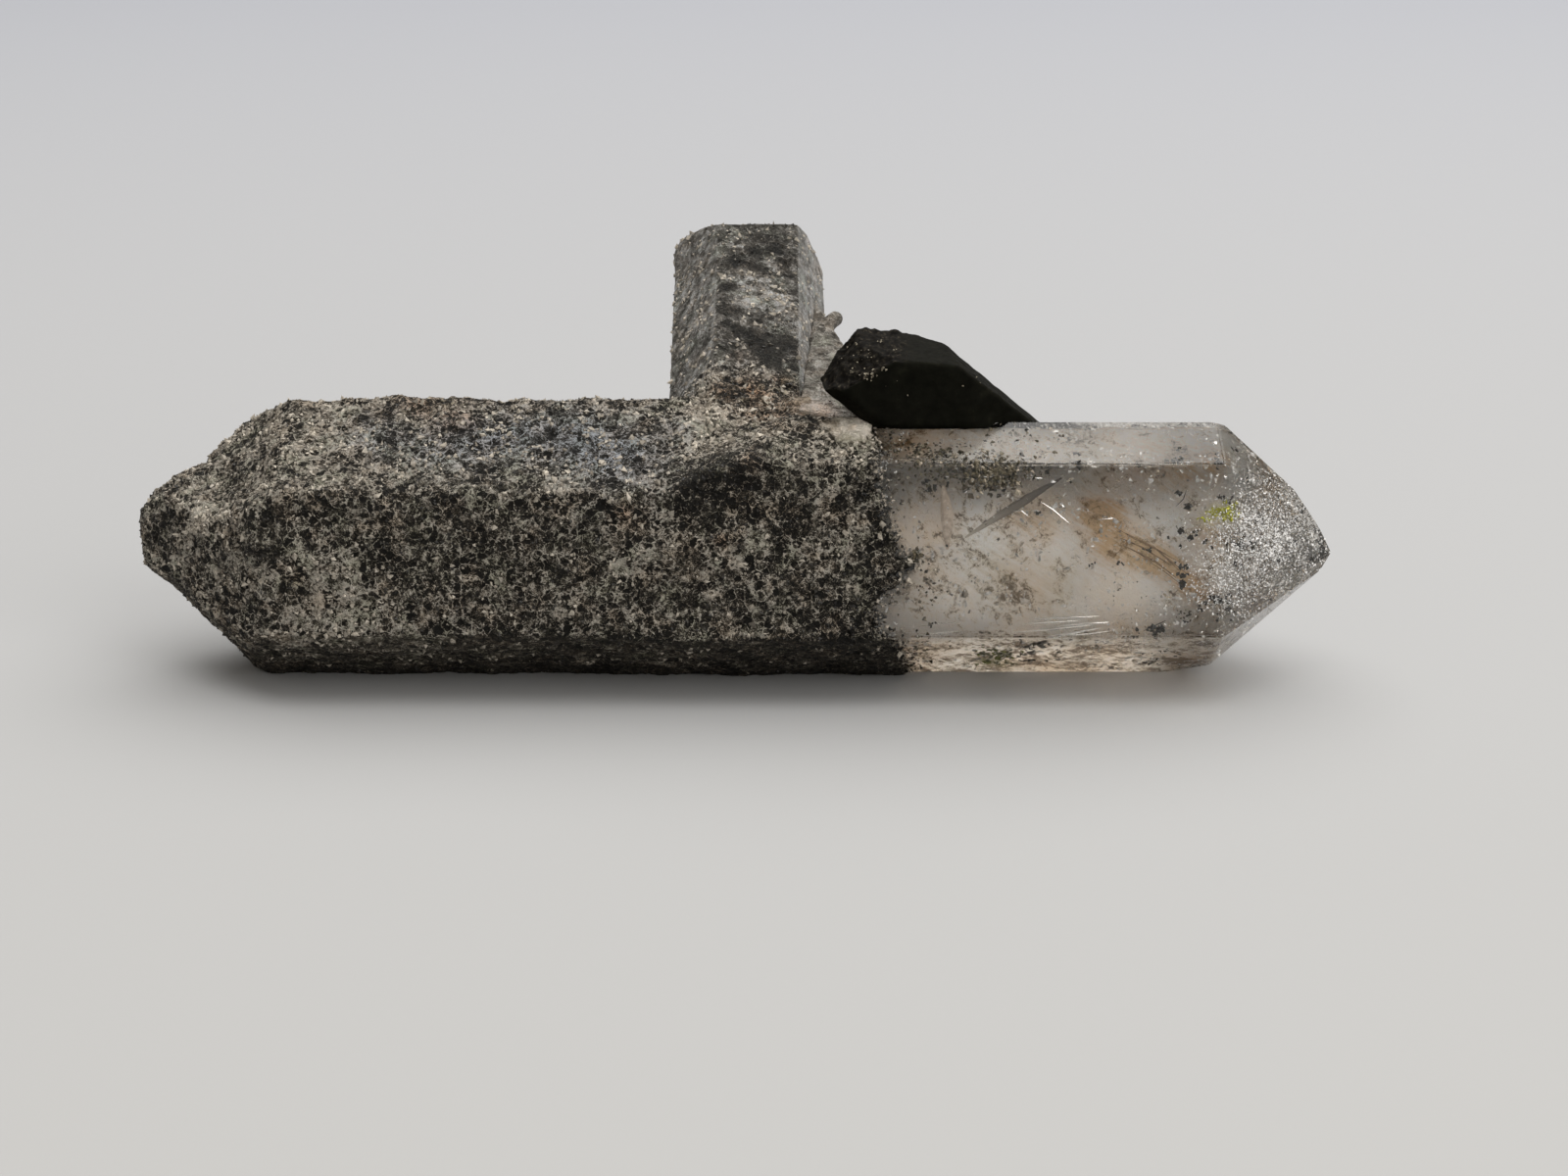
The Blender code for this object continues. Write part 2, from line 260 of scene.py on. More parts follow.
# Stains and veils on the cloudy inside of the clear quartz, in the same way.
HEART_MARKS = {
    "brown": (
        (23.9, 5.1, 0.9, 1.3), (25.3, 5.0, 0.8, 1.3), (24.6, 5.1, 0.6, 0.6), (24.0, 4.4, 2.4, 0.35),
        (24.9, 3.4, 1.5, 0.7), (26.3, 2.6, 1.4, 0.8), (27.5, 2.4, 1.1, 1.1), (28.4, 1.9, 1.0, 1.1),
        (29.5, 1.2, 1.0, 1.0), (30.4, 0.3, 0.9, 0.9), (31.2, -0.4, 0.9, 0.9), (20.4, 4.3, 1.4, 0.5),
        (18.7, 4.9, 1.2, 0.5), (32.2, 8.6, 1.0, 0.8), (30.6, 8.1, 1.6, 0.7), (28.3, 7.3, 2.0, 0.3),
        (33.7, 1.8, 1.3, 0.4), (34.6, 3.0, 1.0, 0.4), (31.6, 3.4, 1.2, 0.4), (19.0, 0.5, 2.4, 0.35),
        (16.0, 1.4, 1.6, 0.25), (32.9, 3.6, 0.9, 0.4), (30.6, -4.3, 1.4, 0.5), (14.2, 4.6, 0.8, 0.6),
        (11.4, 9.4, 1.6, 0.6), (14.6, 9.6, 2.0, 0.35), (18.0, 9.7, 2.6, 0.35), (23.0, 9.6, 2.6, 0.25),
        (27.5, 9.4, 2.6, 0.3),
    ),
    "grey": (
        (10.4, 9.5, 1.3, 1.0), (12.6, 9.4, 1.3, 0.8), (14.4, 8.0, 1.1, 0.6), (16.4, 7.8, 1.1, 0.5),
        (17.9, 7.7, 1.1, 0.4), (12.6, 6.6, 1.2, 0.3), (18.1, 10.6, 1.8, 0.8), (18.4, 9.6, 1.2, 0.5),
        (16.0, 5.6, 1.6, 0.6), (13.4, 1.7, 1.2, 0.5), (12.1, -0.2, 1.2, 0.7), (14.4, -1.7, 1.8, 0.5),
        (18.2, 1.7, 0.8, 0.4), (19.4, 5.3, 2.2, 0.3), (15.7, 4.6, 2.0, 0.4), (36.2, 5.3, 1.5, 0.1),
        (32.9, 6.6, 1.0, 0.3), (34.1, 2.9, 0.9, 0.4), (36.4, 1.9, 0.8, 0.4), (32.4, -1.2, 1.2, 0.4),
        (29.5, -4.4, 1.4, 0.8), (20.4, -4.4, 1.2, 0.9), (28.2, -3.0, 1.0, 0.5), (19.4, -2.9, 1.3, 0.6),
        (21.4, -2.7, 1.4, 0.7), (23.6, -2.7, 1.4, 0.7), (25.6, -2.6, 1.2, 0.4),
    ),
    # The pale marks from x 33 on brighten the tip: painted light.
    "pale": (
        (11.3, 5.6, 0.9, 0.8), (12.8, 4.3, 0.9, 0.5), (26.3, 0.0, 2.6, 0.5), (23.0, 0.6, 1.8, 0.3),
        (12.4, -3.0, 1.2, 0.5), (33.2, 0.7, 1.0, 0.4), (34.7, 4.7, 0.8, 1.2), (36.2, 3.1, 0.8, 1.2),
        (22.3, 9.9, 2.0, 0.3), (29.4, 9.8, 2.0, 0.6), (37.0, 1.2, 2.2, 0.8), (35.0, -0.6, 2.2, 0.8),
        (33.6, 7.6, 2.4, 0.7), (37.4, 4.6, 2.2, 0.8), (25.9, 4.0, 0.5, 0.6),
    ),
    "olive": (
        (16.9, -4.5, 0.9, 0.8), (18.0, -4.7, 0.9, 0.8), (16.0, 7.4, 1.4, 0.2), (17.9, 7.7, 0.9, 0.2),
        (13.2, 7.8, 1.0, 0.2), (21.6, 0.2, 1.4, 0.3), (17.6, 1.2, 2.0, 0.3),
    ),
    "yellow": (
        (33.1, 5.1, 0.55, 1.2), (32.3, 5.2, 0.5, 0.7), (31.8, 4.7, 0.6, 0.35),
    ),
}

# The crust's right edge: seen height and x. Beyond it the quartz is clear.
BOUNDARY = (
    (-5.6, 10.9), (-4.6, 10.7), (-3.6, 10.2), (-2.4, 9.0), (-0.9, 8.9), (0.1, 9.8), (1.3, 11.2),
    (2.4, 10.3), (4.0, 9.3), (5.3, 9.4), (7.3, 9.2), (10.2, 8.6),
)

# Clusters of grains in and on the clear quartz: x, seen height, half width, half height, number, grain size.
DARK_CLUSTERS = (
    (29.6, 8.7, 0.55, 0.28, 16, 0.11), (29.8, 9.4, 0.15, 0.12, 3, 0.09), (32.4, 8.6, 0.3, 0.45, 14, 0.1),
    (33.3, 9.4, 0.12, 0.1, 3, 0.08), (33.6, 9.2, 0.12, 0.12, 3, 0.09), (34.4, 7.3, 0.12, 0.3, 5, 0.09),
    (29.7, 6.4, 0.28, 0.25, 8, 0.08), (30.5, 5.5, 0.16, 0.12, 3, 0.13), (32.6, 6.1, 0.25, 0.22, 8, 0.08),
    (33.2, 6.0, 0.18, 0.25, 6, 0.09), (35.2, 4.6, 0.4, 0.4, 14, 0.11), (38.0, 5.3, 0.25, 0.22, 6, 0.11),
    (37.6, 4.7, 0.15, 0.3, 5, 0.08), (36.5, 6.1, 0.06, 0.06, 1, 0.1), (39.0, 3.8, 0.06, 0.1, 2, 0.08),
    (30.0, 3.9, 0.12, 0.16, 3, 0.13), (30.9, 3.7, 0.16, 0.16, 3, 0.15), (30.5, 3.4, 0.12, 0.16, 3, 0.11),
    (31.5, 3.1, 0.12, 0.14, 3, 0.12), (29.1, 3.4, 0.08, 0.08, 2, 0.08), (29.9, 2.8, 0.1, 0.08, 2, 0.09),
    (32.0, 2.7, 0.08, 0.2, 3, 0.07), (33.9, 2.9, 0.42, 0.28, 16, 0.12), (34.7, 2.8, 0.25, 0.3, 10, 0.11),
    (33.1, 3.0, 0.14, 0.18, 4, 0.09), (37.3, 3.1, 0.35, 0.14, 7, 0.09), (38.3, 3.0, 0.08, 0.06, 1, 0.1),
    (33.9, 1.5, 0.25, 0.25, 7, 0.11), (36.4, 1.8, 0.4, 0.22, 9, 0.09), (38.8, 1.9, 0.14, 0.14, 3, 0.13),
    (29.5, 1.7, 0.08, 0.06, 1, 0.1), (30.2, 1.4, 0.25, 0.2, 8, 0.12), (29.9, 0.9, 0.3, 0.14, 8, 0.11),
    (30.1, 0.4, 0.12, 0.35, 7, 0.12), (32.1, -0.7, 0.5, 0.28, 16, 0.12), (33.2, -0.8, 0.35, 0.35, 12, 0.1),
    (25.8, 1.6, 0.14, 0.12, 3, 0.09), (27.8, 2.6, 0.3, 0.12, 6, 0.08), (30.4, -2.0, 0.28, 0.35, 10, 0.09),
    (29.9, -1.6, 0.25, 0.25, 6, 0.06), (31.3, -1.5, 0.14, 0.3, 5, 0.08), (33.4, -1.7, 0.15, 0.25, 5, 0.08),
    (32.4, -1.9, 0.1, 0.3, 4, 0.08), (28.2, -2.8, 0.45, 0.35, 18, 0.11), (26.8, -3.2, 0.35, 0.18, 6, 0.06),
    (27.0, -2.8, 0.1, 0.08, 2, 0.1), (27.4, -4.4, 0.45, 0.06, 6, 0.07), (28.9, -4.2, 0.4, 0.15, 9, 0.08),
    (29.7, -4.6, 0.2, 0.1, 4, 0.08), (27.9, -5.0, 0.5, 0.2, 14, 0.11), (36.0, -0.8, 0.15, 0.05, 3, 0.07),
    (20.6, -3.7, 0.4, 0.22, 14, 0.14), (19.6, -4.0, 0.55, 0.35, 22, 0.14),
    (19.2, -4.5, 0.25, 0.18, 7, 0.12), (19.6, -4.9, 0.4, 0.12, 9, 0.11), (20.8, -4.9, 0.2, 0.1, 4, 0.1),
    (21.6, -4.2, 0.28, 0.35, 10, 0.09), (21.7, -4.8, 0.25, 0.05, 5, 0.09),
    (15.9, -4.5, 0.18, 0.05, 3, 0.08), (13.2, -2.4, 0.18, 0.15, 4, 0.1), (24.0, 1.7, 0.25, 0.14, 4, 0.07),
    (14.4, -3.9, 0.08, 0.12, 2, 0.08), (12.9, -4.9, 0.2, 0.12, 4, 0.08), (11.1, 5.7, 0.04, 0.04, 1, 0.13),
    (14.2, 2.9, 0.04, 0.05, 1, 0.1), (20.2, 5.0, 0.16, 0.1, 3, 0.1), (22.9, 9.0, 0.16, 0.12, 3, 0.12),
    (23.0, 8.3, 0.12, 0.14, 3, 0.14), (27.0, 8.3, 0.1, 0.06, 2, 0.11), (20.5, 8.9, 0.32, 0.25, 6, 0.05),
    (13.0, 6.7, 0.3, 0.22, 9, 0.11), (12.7, 7.1, 0.12, 0.12, 3, 0.11),
)
# White specks at the tip of the clear quartz: painted light for the light that passes through it.
TIP_LIGHT_CLUSTERS = (
    (34.6, 4.9, 1.0, 0.9, 70, 0.055), (35.4, 4.3, 1.6, 1.2, 60, 0.05), (36.3, 3.1, 0.9, 1.0, 70, 0.055),
    (35.9, 2.5, 0.7, 0.5, 30, 0.06), (35.5, 3.6, 3.4, 3.0, 3600, 0.038), (33.4, 0.6, 2.6, 2.6, 1800, 0.034),
)
BRIGHT_CLUSTERS = (
    (34.6, 4.9, 0.9, 0.9, 40, 0.07), (36.3, 3.1, 0.8, 0.9, 40, 0.07), (34.6, 3.4, 0.4, 0.3, 20, 0.07),
    (35.4, 4.1, 0.6, 0.5, 25, 0.06), (24.5, -3.6, 0.5, 0.12, 14, 0.1), (33.0, 1.8, 0.15, 0.1, 4, 0.08),
    (32.1, 9.8, 0.15, 0.08, 4, 0.09), (30.2, 8.4, 0.25, 0.06, 5, 0.08), (32.9, 7.5, 0.06, 0.06, 1, 0.14),
    (21.9, 5.5, 0.2, 0.1, 5, 0.08), (17.9, 3.3, 0.22, 0.06, 4, 0.08), (15.3, 6.5, 0.08, 0.06, 2, 0.09),
    (20.0, 7.3, 0.45, 0.04, 8, 0.05), (33.9, -0.2, 0.1, 0.06, 2, 0.1), (34.0, -1.8, 0.14, 0.08, 4, 0.09),
    (25.8, -0.1, 0.08, 0.06, 2, 0.08), (13.4, 1.3, 0.03, 0.03, 1, 0.08), (16.1, 0.5, 0.3, 0.2, 6, 0.08),
    (24.9, 4.8, 0.35, 0.05, 6, 0.06), (31.7, 0.2, 0.1, 0.1, 3, 0.09), (37.2, 5.6, 0.25, 0.12, 6, 0.09),
    (11.5, 2.0, 0.2, 0.12, 5, 0.09),
)
YELLOW_CLUSTERS = (
    (33.2, 5.1, 0.55, 0.42, 70, 0.13), (32.4, 5.2, 0.5, 0.25, 24, 0.11), (31.5, 4.6, 0.4, 0.16, 8, 0.1),
)
OLIVE_CLUSTERS = (
    (17.3, -4.6, 1.1, 0.5, 60, 0.13), (18.0, -4.5, 0.9, 0.5, 40, 0.1), (18.3, -5.1, 0.85, 0.05, 12, 0.09),
)
RIDGE_CLUSTERS = (
    (17.6, 7.6, 1.3, 0.9, 150, 0.13), (16.6, 7.7, 1.8, 0.9, 130, 0.11), (14.0, 7.9, 1.6, 0.9, 60, 0.09),
    (11.2, 9.4, 1.8, 0.6, 60, 0.08), (13.4, 9.2, 1.6, 0.5, 50, 0.08), (15.4, 8.2, 5.0, 1.6, 60, 0.08),
    (14.0, 8.9, 1.2, 0.4, 16, 0.1), (12.6, 8.6, 1.6, 0.5, 14, 0.09), (20.0, 8.3, 1.4, 0.7, 22, 0.09),
    (21.8, 10.2, 0.5, 0.25, 8, 0.08), (18.4, 10.6, 1.6, 0.7, 30, 0.09), (12.1, 2.2, 0.5, 0.6, 20, 0.13),
    (13.0, -0.2, 0.7, 1.4, 24, 0.07), (12.6, -3.6, 1.0, 1.4, 26, 0.08), (12.0, 8.5, 1.0, 0.9, 20, 0.1),
)
RIDGE_LACE = (
    (17.6, 7.4, 1.7, 0.9, 120, 0.1), (15.8, 8.7, 2.2, 0.7, 60, 0.08), (12.4, 8.8, 1.4, 0.6, 30, 0.08),
)
# The same on the dark crystal's broken end, and on the pale foot beside it.
DARK_CRYSTAL_CLUSTERS = (
    (8.0, 16.4, 0.15, 0.1, 4, 0.06), (7.5, 16.2, 0.1, 0.1, 3, 0.05), (7.8, 14.5, 0.15, 0.1, 4, 0.06),
    (9.0, 14.3, 0.5, 0.3, 18, 0.07), (9.9, 14.8, 0.2, 0.15, 5, 0.05), (9.6, 16.6, 0.2, 0.15, 4, 0.05),
    (10.6, 16.0, 0.15, 0.15, 4, 0.05), (8.5, 15.5, 0.9, 0.7, 16, 0.04), (11.6, 13.0, 0.05, 0.05, 1, 0.05),
    (15.2, 13.6, 0.05, 0.05, 1, 0.05), (10.0, 13.6, 0.08, 0.05, 2, 0.04), (10.8, 13.9, 0.05, 0.05, 1, 0.04),
    (16.1, 14.2, 0.05, 0.05, 1, 0.05), (16.4, 13.9, 0.05, 0.05, 1, 0.05),
)
FOOT_CLUSTERS = (
    (6.2, 12.6, 0.7, 0.8, 26, 0.05), (7.4, 11.6, 0.9, 0.6, 30, 0.05), (8.6, 10.8, 0.9, 0.4, 24, 0.05),
    (5.2, 14.0, 0.3, 1.2, 14, 0.04),
)

# Needles and fine lines in the clear quartz: radius, then x and seen height of each point.
DARK_BLADE = ((0.3, (15.4, 3.4), (17.6, 4.8), (19.1, 5.7), (20.2, 6.4), (21.9, 7.4)),)
PALE_BLADE = ((0.38, (14.2, 2.6), (14.2, 4.2), (14.1, 5.6), (13.9, 6.9)),)
BROWN_HAIRS = (
    (0.05, (25.8, 3.4), (27.4, 2.7), (29.3, 1.5)), (0.04, (26.2, 3.7), (27.8, 2.9), (29.7, 1.8)),
    (0.06, (26.9, 2.4), (28.2, 1.8), (29.6, 0.7)), (0.04, (27.0, 3.2), (28.3, 2.6), (29.9, 1.1)),
    (0.03, (27.4, 2.0), (28.7, 1.2), (30.0, 0.2)), (0.04, (28.0, 2.9), (29.0, 2.0), (30.4, 0.9)),
    (0.05, (26.0, 2.9), (27.2, 2.3), (28.0, 1.7)), (0.03, (25.5, 4.1), (26.8, 3.3), (28.0, 2.8)),
)
BRIGHT_LINES = (
    (0.055, (20.5, 5.8), (21.3, 5.3), (22.0, 4.7), (22.5, 4.3)),
    (0.045, (18.6, 5.2), (19.2, 5.2), (19.7, 4.8)), (0.045, (19.5, 7.4), (20.6, 7.4)),
    (0.05, (24.3, 4.6), (25.4, 4.7)), (0.025, (27.1, 8.3), (29.0, 8.3)),
    (0.065, (20.0, -2.1), (22.2, -2.0), (24.4, -1.9)), (0.05, (19.4, -2.4), (21.2, -2.3), (23.0, -2.2)),
    (0.07, (21.4, -2.6), (23.4, -2.4), (25.1, -2.3)), (0.055, (20.2, -2.9), (22.0, -2.7), (23.9, -2.5)),
    (0.07, (20.9, -3.3), (22.8, -3.0), (24.5, -2.7)), (0.05, (22.2, -3.2), (23.6, -3.1), (25.2, -2.9)),
    (0.03, (18.4, -3.0), (19.8, -2.9), (21.0, -2.8)), (0.03, (19.0, -3.6), (20.8, -3.4), (22.4, -3.2)),
    (0.035, (24.3, -3.4), (25.2, -3.5)), (0.03, (10.1, 8.8), (12.8, 8.7), (15.4, 8.7)),
    (0.022, (16.0, 8.6), (19.0, 8.5), (22.0, 8.4)), (0.022, (23.0, 8.4), (27.0, 8.4), (31.2, 8.3)),
    (0.02, (12.2, -2.6), (13.6, -2.4), (15.2, -2.3)), (0.02, (12.0, -3.2), (13.8, -3.0), (15.6, -2.9)),
)
DARK_LINES = (
    (0.04, (11.5, -5.5), (12.8, -5.5)), (0.04, (13.8, -5.6), (15.4, -5.7)),
    (0.03, (20.0, 8.1), (22.4, 8.1)), (0.03, (29.6, 5.5), (30.1, 6.0), (30.3, 6.6)),
    (0.04, (28.9, -2.2), (27.4, -2.9)),
)


def rise(values, start, span):
    """0 up to start, 1 from start + span on, and growing evenly in between."""
    return np.clip((values - start) / span, 0, 1)


def prism_normal(face, roll):
    turn = roll + face * PRISM_TURN
    return Vector((0, -math.cos(turn), math.sin(turn)))


def tip_normal(face, roll, way):
    return Vector((way * math.cos(TIP_SLOPE), 0, 0)) + prism_normal(face, roll) * math.sin(TIP_SLOPE)


def habit(prism, roll, left_tip=(), right_tip=(), left_end=None, right_end=None, grown=0.0):
    """The faces of a quartz crystal along X, as (normal, distance), each moved out by grown."""
    planes = [(prism_normal(i, roll), d) for i, d in enumerate(prism)]
    planes += [(tip_normal(i, roll, -1), d) for i, d in enumerate(left_tip)]
    planes += [(tip_normal(i, roll, 1), d) for i, d in enumerate(right_tip)]
    if left_end is not None:
        planes.append((Vector((-1, 0, 0)), -left_end))
    if right_end is not None:
        planes.append((Vector((1, 0, 0)), right_end))
    return [(normal, distance + grown) for normal, distance in planes]


def clear_faces(start, grown=0.0):
    """The clear end's faces, each moved out by grown."""
    small = [(normal, distance + grown) for normal, distance in CLEAR_SMALL_FACES]
    return habit(CLEAR_PRISM, MAIN_ROLL, right_tip=CLEAR_TIP, left_end=start, grown=grown) + small


def pointing(origin, azimuth, climb):
    return Matrix.Translation(origin) @ Matrix.Rotation(azimuth, 4, "Z") @ Matrix.Rotation(-climb, 4, "Y")


def cut(bm, normal, distance):
    """Cuts away what lies beyond distance along the normal, and closes the hole."""
    normal = normal.normalized()
    everything = bm.verts[:] + bm.edges[:] + bm.faces[:]
    result = bmesh.ops.bisect_plane(
        bm, geom=everything, plane_co=normal * distance, plane_no=normal, clear_outer=True
    )
    hole = [edge for edge in result["geom_cut"] if isinstance(edge, bmesh.types.BMEdge)]
    if hole:
        bmesh.ops.contextual_create(bm, geom=hole)


def crystal(planes, place):
    """A convex solid in millimetres, as a bmesh: a block with everything outside each plane cut away."""
    bm = bmesh.new()
    bmesh.ops.create_cube(bm, size=BLOCK)
    for normal, distance in planes:
        cut(bm, normal, distance)
    bmesh.ops.recalc_face_normals(bm, faces=bm.faces)
    bm.transform(place)
    return bm


def add_object(name, data):
    obj = bpy.data.objects.new(name, data)
    bpy.context.scene.collection.objects.link(obj)
    return obj


def add_piece(name, bm):
    """Makes an object from a bmesh in millimetres."""
    bm.transform(Matrix.Scale(MM, 4))
    mesh = bpy.data.meshes.new(name)
    bm.to_mesh(mesh)
    bm.free()
    return add_object(name, mesh)


def joined(*parts):
    bm = bmesh.new()
    mesh = bpy.data.meshes.new("part")
    for part in parts:
        part.to_mesh(mesh)
        part.free()
        bm.from_mesh(mesh)
    bpy.data.meshes.remove(mesh)
    return bm


def voxel_remesh(piece, size):
    """Gives a piece an even mesh, and joins the closed shapes in it into one."""
    remesh = piece.modifiers.new("even mesh", "REMESH")
    remesh.mode = "VOXEL"
    remesh.voxel_size = size * MM
    remesh.use_smooth_shade = True
    bpy.context.view_layer.update()
    mesh = bpy.data.meshes.new_from_object(piece.evaluated_get(bpy.context.evaluated_depsgraph_get()))
    piece.modifiers.clear()
    piece.data = mesh


def read(data, key, width, kind=float):
    """What a mesh's data hold under key, as rows of width values."""
    values = np.empty(len(data) * width, dtype=kind)
    data.foreach_get(key, values)
    return values.reshape(-1, width)


def coordinates(piece):
    return read(piece.data.vertices, "co", 3) / MM


def vertex_normals(piece):
    return read(piece.data.vertex_normals, "vector", 3)


def attribute_values(piece, name):
    return read(piece.data.attributes[name].data, "value", 1)[:, 0]


def set_coordinates(piece, co):
    piece.data.vertices.foreach_set("co", (co * MM).ravel())
    piece.data.update()


def set_attribute(piece, name, values):
    attribute = piece.data.attributes.new(name, "FLOAT", "POINT")
    attribute.data.foreach_set("value", np.asarray(values, dtype=np.float32))


def noise_at(co, spacing, seed):
    seed = Vector(seed)
    return np.array([noise.noise(Vector(p) / spacing + seed) for p in co])


def smoothed(piece, co, rounds, weight):
    """Rounds the edges: in each round every point moves towards the mean of its neighbours by its weight."""
    a, b = read(piece.data.edges, "vertices", 2, np.int64).T
    count = np.bincount(a, minlength=len(co)) + np.bincount(b, minlength=len(co))
    for _ in range(rounds):
        total = np.stack([np.bincount(a, p[b], len(p)) + np.bincount(b, p[a], len(p)) for p in co.T], axis=1)
        co = co + (total / count[:, None] - co) * np.reshape(weight, (-1, 1))
    return co


def softened(piece, mesh_size, rounds, weight=lambda co: 0.5):
    """Evens the mesh and smooths it. Returns the points before and after the smoothing."""
    voxel_remesh(piece, mesh_size)
    sharp = coordinates(piece)
    co = smoothed(piece, sharp, rounds, weight(sharp))
    set_coordinates(piece, co)
    return sharp, co


def round_edges(piece, mesh_size, radius, end_radius, end):
    """Evens the mesh and rounds its edges, more so at the worn end, where end gives 1 for a point."""
    def weight(co):
        return 0.5 * ((radius + (end_radius - radius) * end(co)) / end_radius) ** 2

    return softened(piece, mesh_size, int(4 * (end_radius / mesh_size) ** 2), weight)[1]


def tree_of(piece):
    return BVHTree.FromPolygons(coordinates(piece).tolist(), [p.vertices[:] for p in piece.data.polygons])


def seen_height(co):
    return (co[:, 1] - AIM.y / MM) * math.sin(CAMERA_RISE) + (co[:, 2] - AIM.z / MM) * math.cos(CAMERA_RISE)


def sight_line(x, u):
    """The camera's place and the direction of its sight line through x, u, in millimetres."""
    camera = AIM / MM + CAMERA_BACK * CAMERA_DISTANCE / MM
    up = (u * math.sin(CAMERA_RISE), u * math.cos(CAMERA_RISE))
    target = AIM / MM + Vector((x - AIM.x / MM, *up))
    return camera, (target - camera).normalized()


def seen(x, u, trees):
    """The first surface point that the camera sees through x, u, or None."""
    camera, direction = sight_line(x, u)
    hits = [tree.ray_cast(camera, direction) for tree in trees]
    hits = [hit for hit in hits if hit[0] is not None]
    return min(hits, key=lambda hit: hit[3])[0] if hits else None


def spots(co, marks, trees):
    """How strongly each point lies within the marked places."""
    total = np.zeros(len(co))
    for x, u, radius, strength in marks:
        centre = seen(x, u, trees)
        if centre is not None:
            total += strength * np.exp(-((co - np.array(centre)) ** 2).sum(axis=1) / radius**2)
    return total


def inside(x, u, depth, tree):
    """The point depth millimetres behind the surface on the sight line through x, u, bent as in quartz."""
    camera, direction = sight_line(x, u)
    place, normal = tree.ray_cast(camera, direction)[:2]
    if place is None:
        return None
    ratio = 1 / QUARTZ_IOR
    facing = -normal.dot(direction)
    bent = direction * ratio + normal * (ratio * facing - math.sqrt(1 - ratio**2 * (1 - facing**2)))
    return place + bent * depth


class Nodes:
    """A short way to write a material's nodes. Colours are red, green and blue."""

    def __init__(self, name):
        self.material = bpy.data.materials.new(name)
        self.material.use_nodes = True
        self.tree = self.material.node_tree
        self.shader = self.tree.nodes["Principled BSDF"]

    def put(self, value, socket):
        """Links another node's output to a socket, or sets the socket to a value."""
        if isinstance(value, bpy.types.NodeSocket):
            self.tree.links.new(value, socket)
        else:
            socket.default_value = (*value, 1) if socket.type == "RGBA" else value

    def new(self, kind, *values, **named):
        """A node with its first inputs, and with settings and further inputs by their names."""
        node = self.tree.nodes.new("ShaderNode" + kind)
        for key, value in named.items():
            if hasattr(node, key):
                setattr(node, key, value)
            else:
                self.put(value, node.inputs[key])
        for value, socket in zip(values, node.inputs):
            self.put(value, socket)
        return node

    def set(self, **values):
        """Sets or links the shader's inputs. An underscore stands for a space."""
        for key, value in values.items():
            self.put(value, self.shader.inputs[key.replace("_", " ")])

    def math(self, operation, a, b=0.0, c=0.0, clamp=False):
        return self.new("Math", a, b, c, operation=operation, use_clamp=clamp).outputs[0]

    def weighed(self, total, *parts):
        """The total with each part's value added, less its middle and times its weight."""
        for value, middle, weight in parts:
            total = self.math("MULTIPLY_ADD", self.math("SUBTRACT", value, middle), weight, total)
        return total

    def ramp(self, value, *stops):
        """The colour or grey that the stops give for a value."""
        node = self.new("ValToRGB", value)
        elements = node.color_ramp.elements
        elements.remove(elements[-1])
        for i, (place, colour) in enumerate(stops):
            element = elements[0] if i == 0 else elements.new(place)
            element.position = place
            element.color = (*colour, 1) if isinstance(colour, tuple) else (colour, colour, colour, 1)
        return node.outputs[0]

    def mix(self, factor, a, b, blend="MIX"):
        node = self.new("Mix", factor, data_type="RGBA", blend_type=blend)
        self.put(a, node.inputs[6])
        self.put(b, node.inputs[7])
        return node.outputs[2]

    def tinted(self, colour, tint):
        return self.mix(1.0, colour, tint, "MULTIPLY")

    def mapped(self, **mapping):
        """Object coordinates, mapped."""
        return self.new("Mapping", self.new("TexCoord").outputs["Object"], **mapping).outputs[0]

    def position(self):
        """Object coordinates in millimetres."""
        return self.mapped(Scale=(1 / MM,) * 3)

    def along(self, degrees, lengths):
        """Object coordinates turned about Y and divided by the lengths of a streak in millimetres."""
        scale = tuple(length * MM for length in lengths)
        return self.mapped(vector_type="TEXTURE", Rotation=(0, math.radians(degrees), 0), Scale=scale)

    def split(self, vector):
        return self.new("SeparateXYZ", vector).outputs

    def noise(self, vector, per_mm, detail=4.0, roughness=0.6, distortion=0.0, output="Fac"):
        values = {"Scale": per_mm, "Detail": detail, "Roughness": roughness, "Distortion": distortion}
        return self.new("TexNoise", Vector=vector, **values).outputs[output]

    def warped(self, vector, per_mm, amount):
        """The place, shifted by a noise of 0 to 2 * amount millimetres in each direction."""
        warp = self.noise(vector, per_mm, detail=3.0, roughness=0.5, output="Color")
        return self.new("VectorMath", warp, (2 * amount,) * 3, vector, operation="MULTIPLY_ADD").outputs[0]

    def cells(self, vector, per_mm):
        """A mosaic: each cell's random value, and how far a place is from its cell's edge."""
        value = self.new("TexVoronoi", Vector=vector, Scale=per_mm)
        edge = self.new("TexVoronoi", feature="DISTANCE_TO_EDGE", Vector=vector, Scale=per_mm)
        return self.new("SeparateColor", value.outputs["Color"]).outputs[0], edge.outputs["Distance"]

    def ridges(self, vector, per_mm, distortion, width):
        """Thin winding lines: 1 on a line and 0 beside it."""
        value = self.noise(vector, per_mm, detail=2.0, roughness=0.5, distortion=distortion)
        return self.ramp(self.math("ABSOLUTE", self.math("SUBTRACT", value, 0.5)), (0, 1), (width, 0))

    def attribute(self, name):
        return self.new("Attribute", attribute_name=name).outputs["Fac"]

    def bump(self, height, strength, distance):
        node = self.new("Bump", Height=height, Strength=strength, Distance=distance * MM)
        self.set(Normal=node.outputs[0])


